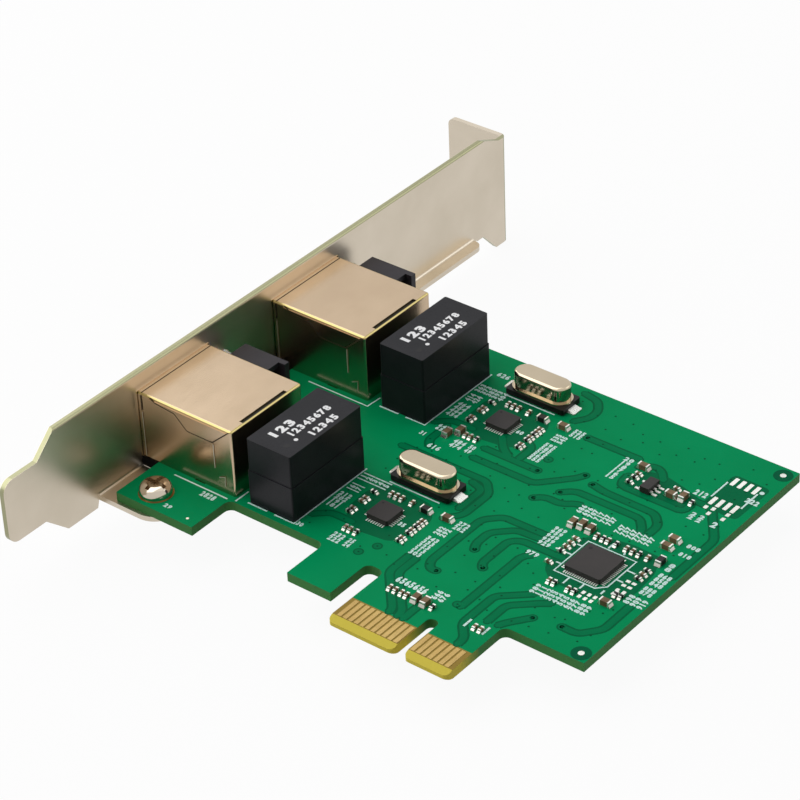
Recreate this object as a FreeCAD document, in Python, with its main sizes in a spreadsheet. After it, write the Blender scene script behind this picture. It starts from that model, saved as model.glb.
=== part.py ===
import FreeCAD, Part
import os
import re
import Sketcher

# Two-port network interface card on a full-height bracket.
# Frame, in millimetres: the origin lies on the outer face of the bracket, level with the component
# side of the circuit board and in line with the tips of its edge fingers. +X runs along the board,
# away from the bracket, +Y from the edge fingers towards the far edge, and +Z up from the
# component side.

SIZES = {
    # circuit board outline
    "board_thickness": 1.57,
    "board_left": 4.05,
    "board_right": 83.35,
    "board_far": 67.4,
    "board_near": 12.95,
    "foot_near": 4.6,
    "inner_foot_right": 19.0,
    "outer_foot_left": 37.3,
    "outer_foot_right": 45.3,
    "recess_radius": 1.2,
    # edge connector: the key and the two rows of fingers beside it
    "key_centre": 61.1,
    "key_width": 1.9,
    "key_depth": 8.5,
    "key_radius": 0.9,
    "tip_radius": 0.9,
    "long_tongue": 11.65,
    "short_tongue": 7.65,
    "finger_pitch": 1.0,
    "finger_width": 0.7,
    "finger_from_key": 0.55,
    "finger_top": 5.4,
    "finger_plating": 0.05,
    "bevel_length": 1.3,
    "bevel_depth": 0.47,
    # bracket, folded from one sheet
    "sheet": 0.86,
    "bracket_top": 105.6,
    "bracket_length": 120.02,
    "plate_width": 18.42,
    "plate_upper": 14.7,
    "tongue_upper": 11.0,
    "tongue_lower": 0.1,
    "tongue_length": 7.0,
    "shoulder_run": 4.0,
    "lower_tongue_length": 7.45,
    "lower_shoulder_run": 4.25,
    "plate_edge_radius": 0.5,
    "tongue_radius": 2.0,
    "flange_reach": 10.95,
    "flange_upper": 12.7,
    "flange_lower": -7.5,
    "flange_shoulder": 3.5,
    "flange_radius": 1.2,
    "bend_radius": 0.45,
    "screw_slot_width": 4.42,
    "screw_slot_depth": 6.2,
    "screw_slot_centre": 6.0,
    "lip_start": 70.5,
    "lip_end": 95.6,
    "lip_reach": 2.2,
    "lip_relief": 2.6,
    "lip_radius": 1.6,
    # tab under the board, and the screw that holds it
    "screw_x": 8.96,
    "screw_y": 8.0,
    "tab_radius": 4.0,
    "tab_root_far": 5.6,
    "tab_root_length": 4.0,
    "tab_relief": 0.4,
    "screw_radius": 1.45,
    "screw_thread_gap": 0.05,
    "screw_board_gap": 0.25,
    "screw_length": 3.2,
    "screw_head_radius": 2.55,
    "screw_head_height": 1.9,
    "screw_head_round": 1.3,
    "screw_cross_width": 0.7,
    "screw_cross_length": 3.9,
    "screw_cross_depth": 0.9,
    # the two sockets
    "port_pitch": 30.9,
    "jack_near": 13.95,
    "jack_width": 16.0,
    "jack_height": 11.6,
    "jack_nose": 0.75,
    "step_gap": 0.1,
    "jack_rear": 19.45,
    "window_gap": 0.08,
    "shield_sheet": 0.25,
    "shield_round": 0.4,
    "shield_fit": 0.05,
    "shield_opening_width": 12.4,
    "shield_opening_lower": 1.5,
    "shield_opening_upper": 10.6,
    "shield_slot_length": 10.0,
    "shield_slot_width": 0.7,
    "flap_start": 3.24,
    "flap_thickness": 0.1,
    "shield_leg_place": 11.5,
    "shield_leg_width": 1.8,
    "shield_leg_length": 3.0,
    "socket_width": 11.9,
    "socket_floor": 2.0,
    "socket_ceiling": 8.9,
    "socket_end": 13.0,
    "latch_width": 6.3,
    "latch_ceiling": 10.3,
    "chamber_start": 14.2,
    "chamber_end": 18.7,
    "chamber_height": 3.4,
    "peg_place": 8.9,
    "peg_spread": 11.4,
    "peg_radius": 1.55,
    "peg_length": 2.3,
    "wire_pitch": 1.02,
    "wire_width": 0.45,
    "wire_thickness": 0.3,
    "wire_lift": 0.05,
    "wire_fold": 3.6,
    "wire_tip": 9.6,
    "wire_tip_height": 4.3,
    "pin_row_front": 15.2,
    "pin_row_gap": 2.54,
    "pin_below": 1.3,
    "pin_hole_gap": 0.12,
    # lamp holder beside each socket
    "holder_gap": 0.4,
    "holder_width": 5.2,
    "holder_front": 3.36,
    "holder_back": 9.9,
    "holder_wall_end": 12.1,
    "holder_roof_end": 10.9,
    "holder_roof": 0.9,
    "holder_wall": 1.0,
    "holder_height": 9.5,
    "lamp_radius": 1.45,
    "lamp_fit": 0.05,
    "lamp_hole_gap": 0.15,
    "lamp_nose": 0.5,
    "lamp_back": 5.2,
    "lamp_low": 2.7,
    "lamp_high": 7.0,
    "lead_thickness": 0.45,
    "lead_spread": 2.54,
    "lead_back_low": 10.25,
    "lead_back_high": 11.5,
    "lead_channel": 0.9,
    # transformers
    "transformer_left": 21.9,
    "transformer_length": 8.55,
    "transformer_near": 14.25,
    "transformer_pitch": 30.85,
    "transformer_width": 16.5,
    "transformer_height": 11.45,
    "transformer_seam": 5.9,
    "transformer_pin_inset": 1.1,
    "transformer_pin_pitch": 2.54,
    "transformer_pin_radius": 0.3,
    "cover_step": 0.12,
    "case_round": 0.3,
    # crystals
    "channel_pitch": 28.65,
    "crystal_x": 40.6,
    "crystal_y": 33.05,
    "crystal_pitch": 28.15,
    "crystal_far_step": 0.25,
    "crystal_base_length": 10.9,
    "crystal_base_width": 4.7,
    "crystal_base_height": 0.9,
    "crystal_base_round": 0.35,
    "crystal_rim_inset": 0.15,
    "crystal_rim_height": 0.35,
    "crystal_can_length": 9.9,
    "crystal_can_width": 3.7,
    "crystal_height": 4.1,
    "crystal_can_round": 0.45,
    "terminal_thickness": 0.2,
    "terminal_reach": 1.1,
    "terminal_width": 2.2,
    # chips
    "port_chip_x": 40.1,
    "port_chip_y": 23.4,
    "port_chip_side": 4.0,
    "port_chip_pad_pitch": 0.42,
    "main_chip_x": 71.9,
    "main_chip_y": 31.4,
    "main_chip_side": 6.3,
    "main_chip_pad_pitch": 0.37,
    "chip_height": 0.9,
    "chip_lift": 0.05,
    "chip_corner": 0.35,
    "chip_pad_width": 0.2,
    "chip_pad_inside": 0.4,
    "chip_pad_outside": 0.6,
    # voltage regulator with five leads
    "regulator_x": 67.6,
    "regulator_y": 51.3,
    "regulator_length": 1.6,
    "regulator_width": 2.9,
    "regulator_height": 1.1,
    "regulator_lift": 0.1,
    "regulator_lead_pitch": 0.95,
    "regulator_lead_width": 0.4,
    "regulator_lead_thickness": 0.15,
    "regulator_lead_reach": 1.1,
    "regulator_lead_exit": 0.5,
    # capacitors and resistors soldered flat on the board
    "small_part_length": 1.0,
    "small_part_width": 0.5,
    "small_part_height": 0.5,
    "large_part_length": 1.7,
    "large_part_width": 0.95,
    "large_part_height": 0.85,
    "part_end_length": 0.25,
}

FINGERS_LONG_TONGUE = 11
FINGERS_SHORT_TONGUE = 7
WIRES = 8
PORT_CHIP_PADS = 8
MAIN_CHIP_PADS = 16
TRANSFORMER_PINS = 6
PORTS = (0, 1)

# The edge of the flap that the shield's top folds down over its near side, as steps along the
# socket from the flap's start and down from the shield's top, in millimetres.
FLAP_OUTLINE = [
    (0.0, 0.45), (0.9, 1.1), (4.6, 1.25), (7.3, 3.25), (10.4, 3.5), (13.0, 2.8), (15.4, 0.45),
]

# Where the small parts lie, as steps from the middle of the chip that they serve, in millimetres.
# Each is a step along X, a step along Y and the way it lies: along x or along y.
CAPACITORS_AT_PORT_CHIP = [
    (-2.35, 4.5, "y"), (-1.35, 4.5, "y"), (-0.35, 4.5, "y"), (1.55, 4.5, "y"),
    (-4.75, 1.5, "x"), (-4.75, 0.6, "x"), (-4.75, -1.5, "x"),
    (5.65, 1.9, "x"), (5.65, 1.1, "x"), (5.65, -0.7, "x"), (5.65, -3.0, "x"),
    (-2.65, -5.8, "y"), (-1.75, -5.8, "y"),
]
RESISTORS_AT_PORT_CHIP = [
    (-4.75, 3.4, "x"), (-4.75, -2.4, "x"),
    (5.65, 0.3, "x"), (5.65, -1.5, "x"), (5.65, -3.8, "x"),
    (-0.65, -5.8, "y"),
]
LARGE_CAPACITORS_AT_PORT_CHIP = [(8.15, 4.4, "x")]
LARGE_RESISTORS_AT_PORT_CHIP = [(4.35, 4.2, "x")]
LARGE_CAPACITORS_BEHIND_FAR_CHIP = [(-5.2, -7.1, "y"), (-3.9, -5.5, "y")]
CAPACITORS_AT_MAIN_CHIP = [
    (-3.7, 5.8, "y"), (-1.7, 5.8, "y"), (1.5, 5.8, "y"), (2.6, 5.8, "y"),
    (-5.8, 3.5, "x"), (-5.8, 2.3, "x"), (-5.8, 1.2, "x"), (-5.8, -3.1, "x"),
    (-3.1, -6.6, "y"), (0.2, -6.6, "y"), (6.8, 2.2, "x"), (5.2, 5.8, "y"),
]
RESISTORS_AT_MAIN_CHIP = [
    (-2.6, 5.8, "y"), (-0.3, 5.8, "y"), (3.7, 5.8, "y"), (-5.8, 0.0, "x"),
    (-2.2, -6.6, "y"), (1.2, -6.6, "y"), (6.8, 3.3, "x"), (6.8, 1.1, "x"),
    (6.3, -3.7, "y"), (7.2, -3.7, "y"),
]
LARGE_CAPACITORS_AT_MAIN_CHIP = [
    (-8.3, 6.3, "y"), (-6.9, 6.7, "y"), (-5.3, 6.5, "y"),
    (5.9, 9.5, "x"), (5.9, 11.5, "x"), (6.3, -6.2, "x"),
]
LARGE_RESISTORS_AT_MAIN_CHIP = [(7.2, 6.1, "y")]
CAPACITORS_AT_REGULATOR = [(-3.3, 1.9, "x"), (3.4, 2.1, "x")]
RESISTORS_AT_REGULATOR = [(-3.3, 0.9, "x"), (-3.3, -0.5, "x"), (7.1, 0.5, "y")]
LARGE_CAPACITORS_AT_REGULATOR = [(-3.6, 3.7, "x"), (3.6, 0.3, "x"), (5.4, 0.9, "y")]
CAPACITORS_AT_FINGERS = [
    (-9.5, 4.9, "y"), (-8.5, 4.9, "y"), (-7.4, 4.9, "y"), (-6.5, 4.9, "y"),
    (5.6, 4.9, "y"), (6.6, 4.9, "y"),
]
RESISTORS_AT_FINGERS = [(-1.9, 4.9, "y")]
LARGE_CAPACITORS_AT_FINGERS = [(-4.9, 5.1, "y"), (-3.3, 5.1, "y")]

doc = FreeCAD.newDocument("network_card")
sheet = doc.addObject("Spreadsheet::Sheet", "Sizes")
for row, (alias, value) in enumerate(SIZES.items(), 1):
    sheet.set(f"A{row}", alias)
    sheet.set(f"B{row}", str(value))
    sheet.setAlias(f"B{row}", alias)
doc.recompute()

nodes = []


# Formulas are written with the bare names of the sizes.
def bound(formula):
    return re.sub(r"\b([a-z][a-z_]{2,})\b", r"Sizes.\1", formula)


def number(formula):
    return float(sheet.evalExpression(bound(formula)))


def vector(x, y, z):
    return FreeCAD.Vector(number(x), number(y), number(z))


def keep(thing, label):
    thing.Label = label
    nodes.append(thing)
    return thing


def place(thing, at):
    for axis, formula in zip("xyz", at):
        thing.setExpression(f"Placement.Base.{axis}", bound(formula))
    return thing


def block(name, at, size):
    box = doc.addObject("Part::Box", name)
    for side, formula in zip(("Length", "Width", "Height"), size):
        box.setExpression(side, bound(formula))
    return place(box, at)


def rod(name, at, radius, length, along="z"):
    turns = {"x": (0, 90, 0), "y": (0, 0, -90), "z": (0, 0, 0)}
    cylinder = doc.addObject("Part::Cylinder", name)
    cylinder.Placement.Rotation = FreeCAD.Rotation(*turns[along])
    cylinder.setExpression("Radius", bound(radius))
    cylinder.setExpression("Height", bound(length))
    return place(cylinder, at)


def joined(name, parts):
    fuse = doc.addObject("Part::MultiFuse", name)
    fuse.Shapes = parts
    fuse.Refine = True
    return fuse


def less(name, base, tools):
    tool = tools[0]
    if len(tools) > 1:
        tool = doc.addObject("Part::Compound", name + "_tools")
        tool.Links = tools
    cut = doc.addObject("Part::Cut", name)
    cut.Base = base
    cut.Tool = tool
    cut.Refine = True
    return cut


# A flat piece with straight edges: its corners lie in a plane, and it is as thick as stated.
def plate(name, plane_role, corners, thickness, at=("0", "0", "0")):
    body = doc.addObject("PartDesign::Body", name)
    sketch = body.newObject("Sketcher::SketchObject", name + "_outline")
    plane = [item for item in body.Origin.OriginFeatures if item.Role == plane_role][0]
    sketch.AttachmentSupport = [(plane, "")]
    sketch.MapMode = "FlatFace"
    points = [vector(across, upward, "0") for across, upward in corners]
    count = len(points)
    for index in range(count):
        sketch.addGeometry(Part.LineSegment(points[index], points[(index + 1) % count]), False)
    for index in range(count):
        sketch.addConstraint(Sketcher.Constraint("Coincident", index, 2, (index + 1) % count, 1))
    for index, (across, upward) in enumerate(corners):
        for kind, formula in (("DistanceX", across), ("DistanceY", upward)):
            rule = Sketcher.Constraint(kind, -1, 1, index, 1, number(formula))
            constraint = sketch.addConstraint(rule)
            sketch.setExpression(f"Constraints[{constraint}]", bound(formula))
    pad = body.newObject("PartDesign::Pad", name + "_pad")
    pad.Profile = sketch
    pad.setExpression("Length", bound(thickness))
    place(body, at)
    doc.recompute()
    return body


# The names of the straight edges of a shape that run along an axis and pass the test.
def edges_along(shape, axis, test):
    names = []
    for index, edge in enumerate(shape.Edges, 1):
        if len(edge.Vertexes) != 2:
            continue
        span = edge.Vertexes[1].Point - edge.Vertexes[0].Point
        if abs(abs(getattr(span, axis)) - edge.Length) < 1e-4 and test(edge.CenterOfMass):
            names.append(f"Edge{index}")
    return names


def round_body(body, axis, radius, test):
    base = body.Tip
    names = edges_along(base.Shape, axis, test)
    fillet = body.newObject("PartDesign::Fillet", f"{body.Name}_{radius}")
    fillet.Base = (base, names)
    fillet.setExpression("Radius", bound(radius))
    body.Tip = fillet
    doc.recompute()


def round_edges(name, base, axes, radius, test):
    doc.recompute()
    size = number(radius)
    names = [edge for axis in axes for edge in edges_along(base.Shape, axis, test)]
    fillet = doc.addObject("Part::Fillet", name)
    fillet.Base = base
    fillet.Edges = [(int(edge[4:]), size, size) for edge in names]
    return fillet


def near(first, second):
    return abs(first - second) < 1e-3


# Many equal small solids in one node, from corners and sizes worked out as numbers.
def group(name, shapes):
    feature = doc.addObject("Part::Feature", name)
    feature.Shape = Part.makeCompound(shapes)
    return feature


def solid_box(low_x, low_y, low_z, length, width, height):
    return Part.makeBox(length, width, height, FreeCAD.Vector(low_x, low_y, low_z))


# An upright profile in X and Z, drawn out along Y.
def drawn_out(profile, start_y, width):
    points = [FreeCAD.Vector(x, start_y, z) for x, z in profile]
    face = Part.Face(Part.makePolygon(points + points[:1]))
    return face.extrude(FreeCAD.Vector(0, width, 0))


def port_shift(port):
    return f"{port}*port_pitch"


# The row position of each soldered pin of a port, worked out once for the pins and their holes.
def wire_places(port):
    middle = number(f"jack_near + jack_width/2 + {port_shift(port)}")
    first = middle - number("wire_pitch")*(WIRES - 1)/2
    rows = (number("pin_row_front"), number("pin_row_front + pin_row_gap"))
    return [(rows[index % 2], first + index*number("wire_pitch")) for index in range(WIRES)]


def lamp_middle(port):
    return f"jack_near + jack_width + holder_gap + holder_width/2 + {port_shift(port)}"


def lead_places(port):
    middle = number(lamp_middle(port))
    spread = number("lead_spread/2")
    backs = (number("lead_back_low"), number("lead_back_high"))
    return [(back, middle + side*spread) for back in backs for side in (-1, 1)]


def transformer_pin_places(port):
    near_side = number(f"transformer_near + {port}*transformer_pitch + transformer_width/2")
    first = near_side - number("transformer_pin_pitch")*(TRANSFORMER_PINS - 1)/2
    inset = number("transformer_pin_inset")
    left = number("transformer_left")
    rows = (left + inset, left + number("transformer_length") - inset)
    step = number("transformer_pin_pitch")
    return [(row, first + index*step) for row in rows for index in range(TRANSFORMER_PINS)]


# Circuit board: feet and recesses beside the edge connector, the key, and the bevelled finger tips.
LONG_TONGUE_LEFT = "key_centre - key_width/2 - long_tongue"
SHORT_TONGUE_RIGHT = "key_centre + key_width/2 + short_tongue"


def make_board():
    corners = [
        ("board_left", "foot_near"),
        ("inner_foot_right", "foot_near"),
        ("inner_foot_right", "board_near"),
        ("outer_foot_left", "board_near"),
        ("outer_foot_left", "foot_near"),
        ("outer_foot_right", "foot_near"),
        ("outer_foot_right", "board_near"),
        (LONG_TONGUE_LEFT, "board_near"),
        (LONG_TONGUE_LEFT, "0"),
        ("key_centre - key_width/2", "0"),
        ("key_centre - key_width/2", "key_depth"),
        ("key_centre + key_width/2", "key_depth"),
        ("key_centre + key_width/2", "0"),
        (SHORT_TONGUE_RIGHT, "0"),
        (SHORT_TONGUE_RIGHT, "board_near"),
        ("board_right", "board_near"),
        ("board_right", "board_far"),
        ("board_left", "board_far"),
    ]
    outline = plate("board_outline", "XY_Plane", corners, "board_thickness",
                    at=("0", "0", "-board_thickness"))
    recess_line = number("board_near")
    ends = (number("board_left") + 1, number("board_right") - 1)
    round_body(outline, "z", "recess_radius",
               lambda middle: near(middle.y, recess_line) and ends[0] < middle.x < ends[1])
    key_line = number("key_depth")
    round_body(outline, "z", "key_radius", lambda middle: near(middle.y, key_line))
    round_body(outline, "z", "tip_radius", lambda middle: near(middle.y, 0))
    # Both bevels are wedges as long as the tongues together.
    tongues = f"({SHORT_TONGUE_RIGHT}) - ({LONG_TONGUE_LEFT})"
    upper_wedge = plate("upper_bevel", "YZ_Plane", [
        ("-bevel_length", "-2*bevel_depth"), ("bevel_length", "0"),
        ("bevel_length", "bevel_length"), ("-bevel_length", "bevel_length"),
    ], tongues, at=(LONG_TONGUE_LEFT, "0", "0"))
    lower_wedge = plate("lower_bevel", "YZ_Plane", [
        ("-bevel_length", "2*bevel_depth"), ("bevel_length", "0"),
        ("bevel_length", "-bevel_length"), ("-bevel_length", "-bevel_length"),
    ], tongues, at=(LONG_TONGUE_LEFT, "0", "-board_thickness"))
    thickness = number("board_thickness")
    gap = number("pin_hole_gap")
    drills = []
    for port in PORTS:
        holes = [(x, y, number("wire_width/2") + gap) for x, y in wire_places(port)]
        holes += [(x, y, number("lead_thickness")*0.7072 + gap) for x, y in lead_places(port)]
        holes += [(x, y, number("transformer_pin_radius") + gap)
                  for x, y in transformer_pin_places(port)]
        for side in (-0.5, 0.5):
            peg_y = number(f"jack_near + jack_width/2 + {side}*peg_spread + {port_shift(port)}")
            holes.append((number("peg_place"), peg_y, number("peg_radius") + gap))
        for x, y, radius in holes:
            base = FreeCAD.Vector(x, y, -2*thickness)
            drills.append(Part.makeCylinder(radius, 3*thickness, base))
        for side in (0, 1):
            leg_y = number(f"jack_near + {side}*(jack_width - shield_sheet) + {port_shift(port)}")
            drills.append(solid_box(number("shield_leg_place") - gap, leg_y - gap, -2*thickness,
                                    number("shield_leg_width") + 2*gap,
                                    number("shield_sheet") + 2*gap, 3*thickness))
    screw_hole = rod("board_screw_hole", ("screw_x", "screw_y", "-2*board_thickness"),
                     "screw_radius + screw_board_gap", "3*board_thickness")
    drilled = less("board_drilled", outline, [group("board_holes", drills)])
    tools = [upper_wedge, lower_wedge, screw_hole]
    keep(less("circuit_board", drilled, tools), "circuit_board")


# Gold fingers: a row on each side of the key, on both faces of the board.
def make_fingers():
    key_edge = number("key_width/2 + finger_from_key")
    pitch = number("finger_pitch")
    centre = number("key_centre")
    columns = [centre - key_edge - index*pitch for index in range(FINGERS_LONG_TONGUE)]
    columns += [centre + key_edge + index*pitch for index in range(FINGERS_SHORT_TONGUE)]
    width = number("finger_width")
    start = number("bevel_length")
    length = number("finger_top - bevel_length")
    plating = number("finger_plating")
    faces = {"edge_fingers_upper": 0.0, "edge_fingers_lower": -number("board_thickness") - plating}
    for label, level in faces.items():
        fingers = [solid_box(x - width/2, start, level, width, length, plating) for x in columns]
        keep(group(label, fingers), label)


# Bracket: plate, end flange with its open screw slot, tongue, stiffening lip and board tab.
def make_bracket():
    lower = "plate_upper - plate_width"
    end = "bracket_top - bracket_length"
    flange_start = "bracket_top - flange_shoulder"
    slope = "flange_shoulder"
    neck_near = "screw_y - tab_radius"
    neck_far = "screw_y + tab_root_far"
    tab_lower = "-board_thickness - sheet"
    corners = [
        (end, "tongue_lower"),
        (f"{end} + lower_tongue_length", "tongue_lower"),
        (f"{end} + lower_tongue_length + lower_shoulder_run", lower),
        (f"{neck_near} - tab_relief", lower),
        (neck_near, tab_lower),
        (neck_far, tab_lower),
        (f"{neck_far} + tab_relief", lower),
        (f"{flange_start} - {slope}", lower),
        (flange_start, "flange_lower"),
        ("bracket_top", "flange_lower"),
        ("bracket_top", "flange_upper"),
        (f"bracket_top - 2*sheet - bend_radius", "flange_upper"),
        (f"{flange_start} - {slope}", "plate_upper"),
        (f"{end} + tongue_length + shoulder_run", "plate_upper"),
        (f"{end} + tongue_length", "tongue_upper"),
        (end, "tongue_upper"),
    ]
    face = plate("bracket_face", "YZ_Plane", corners, "sheet")
    tongue_end = number(end)
    round_body(face, "x", "tongue_radius", lambda middle: near(middle.y, tongue_end))
    flange = block("bracket_flange", ("-flange_reach", "bracket_top - sheet", "flange_lower"),
                   ("flange_reach + sheet", "sheet", "flange_upper - flange_lower"))
    reach = -number("flange_reach")
    rounded_flange = round_edges("bracket_flange_rounded", flange, "y", "flange_radius",
                                 lambda middle: near(middle.x, reach))
    lip = block("bracket_lip", ("0", "lip_start", lower),
                ("sheet + lip_reach", "lip_end - lip_start", "sheet"))
    lip_edge = number("sheet + lip_reach")
    rounded_lip = round_edges("bracket_lip_rounded", lip, "z", "lip_radius",
                              lambda middle: near(middle.x, lip_edge))
    tab_neck = block("bracket_tab_neck", ("0", neck_near, tab_lower), ("screw_x", "2*tab_radius", "sheet"))
    tab_root = block("bracket_tab_root", ("0", neck_near, tab_lower),
                     ("tab_root_length", "tab_radius + tab_root_far", "sheet"))
    tab_round = rod("bracket_tab_round", ("screw_x", "screw_y", tab_lower), "tab_radius", "sheet")
    folded = joined("bracket_folded",
                    [face, rounded_flange, rounded_lip, tab_neck, tab_root, tab_round])
    inner_bends = round_edges("bracket_inner_bends", folded, "z", "bend_radius",
                              lambda middle: near(middle.x, 0) and middle.y > number("lip_end"))
    fold = (number("sheet"), number("bracket_top"))
    outer_bend = round_edges("bracket_outer_bend", inner_bends, "z", "sheet + bend_radius",
                             lambda middle: near(middle.x, fold[0]) and near(middle.y, fold[1]))
    lip_level = number(f"{lower} + sheet")
    tab_level = number("-board_thickness")
    lip_bend = round_edges("bracket_lip_bend", outer_bend, "y", "bend_radius",
                           lambda middle: near(middle.x, number("sheet"))
                           and (near(middle.z, lip_level) or near(middle.z, tab_level)))
    sheet = number("sheet")
    upper = number("plate_upper")
    worn_edge = round_edges("bracket_worn_edge", lip_bend, "y", "plate_edge_radius",
                            lambda middle: near(middle.x, sheet) and near(middle.z, upper))
    windows = []
    for port in PORTS:
        windows.append(block(f"port_window_{port}",
                             ("-sheet", f"jack_near - window_gap + {port_shift(port)}", "-window_gap"),
                             ("3*sheet", "jack_width + 2*window_gap", "jack_height + 2*window_gap")))
        for level in ("lamp_low", "lamp_high"):
            windows.append(rod(f"{level}_hole_{port}", ("-sheet", lamp_middle(port), level),
                               "lamp_radius + lamp_hole_gap", "3*sheet", "x"))
    slot = block("screw_slot",
                 ("-screw_slot_centre - screw_slot_width/2", "bracket_top - 2*sheet", "flange_lower - sheet"),
                 ("screw_slot_width", "3*sheet", "screw_slot_depth - screw_slot_width/2 + sheet"))
    slot_end = rod("screw_slot_end",
                   ("-screw_slot_centre", "bracket_top - 2*sheet",
                    "flange_lower + screw_slot_depth - screw_slot_width/2"),
                   "screw_slot_width/2", "3*sheet", "y")
    relief = block("lip_relief_notch", ("-sheet", "lip_end", f"{lower} - sheet"),
                   ("3*sheet", "lip_relief/2", "sheet + bend_radius/2"))
    thread = rod("tab_thread", ("screw_x", "screw_y", f"{tab_lower} - sheet"),
                 "screw_radius + screw_thread_gap", "3*sheet")
    tools = windows + [joined("screw_slot_whole", [slot, slot_end]), relief, thread]
    keep(less("bracket", worn_edge, tools), "bracket")


# Dome-headed screw with a cross recess, from above through the board into the tab.
def make_screw():
    head = rod("screw_head", ("screw_x", "screw_y", "0"), "screw_head_radius", "screw_head_height")
    doc.recompute()
    top = number("screw_head_height")
    rim = [index for index, edge in enumerate(head.Shape.Edges, 1)
           if near(edge.CenterOfMass.z, top) and len(edge.Vertexes) == 1]
    dome = doc.addObject("Part::Fillet", "screw_dome")
    dome.Base = head
    dome.Edges = [(index, number("screw_head_round"), number("screw_head_round")) for index in rim]
    shank = rod("screw_shank", ("screw_x", "screw_y", "-screw_length"), "screw_radius", "screw_length")
    whole = joined("screw_whole", [dome, shank])
    low = "screw_head_height - screw_cross_depth"
    along = block("cross_along", ("screw_x - screw_cross_length/2", "screw_y - screw_cross_width/2", low),
                  ("screw_cross_length", "screw_cross_width", "2*screw_cross_depth"))
    across = block("cross_across", ("screw_x - screw_cross_width/2", "screw_y - screw_cross_length/2", low),
                   ("screw_cross_width", "screw_cross_length", "2*screw_cross_depth"))
    keep(less("bracket_screw", whole, [joined("cross", [along, across])]), "bracket_screw")


# Metal shield of a socket: top, sides and back, a framed front, and a leg in each side.
def make_shield(port):
    shift = port_shift(port)
    nose = "-jack_nose"
    depth = "jack_rear + jack_nose"
    outer = block(f"shield_outer_{port}", (nose, f"jack_near + {shift}", "0"),
                  (depth, "jack_width", "jack_height"))
    rear = number("jack_rear")
    top = number("jack_height")
    rounded = round_edges(f"shield_rounded_{port}", outer, "xyz", "shield_round",
                          lambda middle: middle.x > 0 and middle.z > 0
                          and (near(middle.z, top) or near(middle.x, rear)))
    inner = block(f"shield_inner_{port}",
                  (f"{nose} + shield_sheet", f"jack_near + shield_sheet + {shift}", "-shield_sheet"),
                  (f"{depth} - 2*shield_sheet", "jack_width - 2*shield_sheet", "jack_height"))
    opening = block(f"shield_opening_{port}",
                    ("-2*jack_nose", f"jack_near + (jack_width - shield_opening_width)/2 + {shift}",
                     "shield_opening_lower"),
                    ("2*jack_nose", "shield_opening_width",
                     "shield_opening_upper - shield_opening_lower"))
    slot = block(f"shield_slot_{port}",
                 ("jack_rear - shield_sheet - shield_slot_width",
                  f"jack_near + (jack_width - shield_slot_length)/2 + {shift}",
                  "jack_height - 2*shield_sheet"),
                 ("shield_slot_width", "shield_slot_length", "3*shield_sheet"))
    shell = less(f"shield_shell_{port}", rounded, [inner, opening, slot])
    corners = [(f"flap_start + {run}", f"jack_height - {drop}") for run, drop in FLAP_OUTLINE]
    flap = plate(f"shield_flap_{port}", "XZ_Plane", corners, "flap_thickness + shield_sheet/2",
                 at=("0", f"jack_near + shield_sheet/2 + {shift}", "0"))
    legs = []
    for side in (0, 1):
        legs.append(block(f"shield_leg_{port}_{side}",
                          ("shield_leg_place", f"jack_near + {side}*(jack_width - shield_sheet) + {shift}",
                           "-shield_leg_length"),
                          ("shield_leg_width", "shield_sheet", "shield_leg_length + shield_sheet")))
    keep(joined(f"jack_shield_{port + 1}", [shell, flap] + legs), f"jack_shield_{port + 1}")


# Plastic insert: the plug's socket, the latch channel, and a chamber for the soldered pins.
def make_housing(port):
    shift = port_shift(port)
    middle = f"jack_near + jack_width/2 + {shift}"
    wall = "(shield_sheet + shield_fit)"
    front = f"-jack_nose + {wall}"
    body = block(f"housing_body_{port}", (front, f"jack_near + {wall} + {shift}", "0"),
                 (f"jack_rear + jack_nose - 2*{wall}", f"jack_width - 2*{wall}",
                  f"jack_height - {wall}"))
    socket = block(f"housing_socket_{port}",
                   ("-2*jack_nose", f"{middle} - socket_width/2", "socket_floor"),
                   ("socket_end + 2*jack_nose", "socket_width", "socket_ceiling - socket_floor"))
    latch = block(f"housing_latch_{port}",
                  ("-2*jack_nose", f"{middle} - latch_width/2", "socket_floor"),
                  ("socket_end + 2*jack_nose", "latch_width", "latch_ceiling - socket_floor"))
    comb = f"{WIRES}*wire_pitch + wire_width"
    chamber = block(f"housing_chamber_{port}",
                    ("chamber_start", f"{middle} - ({comb})/2", "-wire_thickness"),
                    ("chamber_end - chamber_start", comb, "chamber_height + wire_thickness"))
    passage = block(f"housing_passage_{port}",
                    ("socket_end - wire_thickness", f"{middle} - ({comb})/2", "socket_floor"),
                    ("chamber_start - socket_end + 2*wire_thickness", comb,
                     "2*wire_thickness"))
    hollow = joined(f"housing_hollow_{port}", [socket, latch, passage, chamber])
    shell = less(f"housing_shell_{port}", body, [hollow])
    pegs = [rod(f"housing_peg_{port}_{index}",
                ("peg_place", f"{middle} + {side}*peg_spread", "-peg_length"),
                "peg_radius", "peg_length") for index, side in enumerate((-0.5, 0.5))]
    # In front of the board's edge the insert steps down beside it, behind the bracket.
    step = block(f"housing_step_{port}",
                 ("sheet + step_gap", f"jack_near + {wall} + {shift}", "-board_thickness"),
                 ("board_left - sheet - 2*step_gap", f"jack_width - 2*{wall}", "board_thickness"))
    keep(joined(f"jack_housing_{port + 1}", [shell, step] + pegs), f"jack_housing_{port + 1}")


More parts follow.
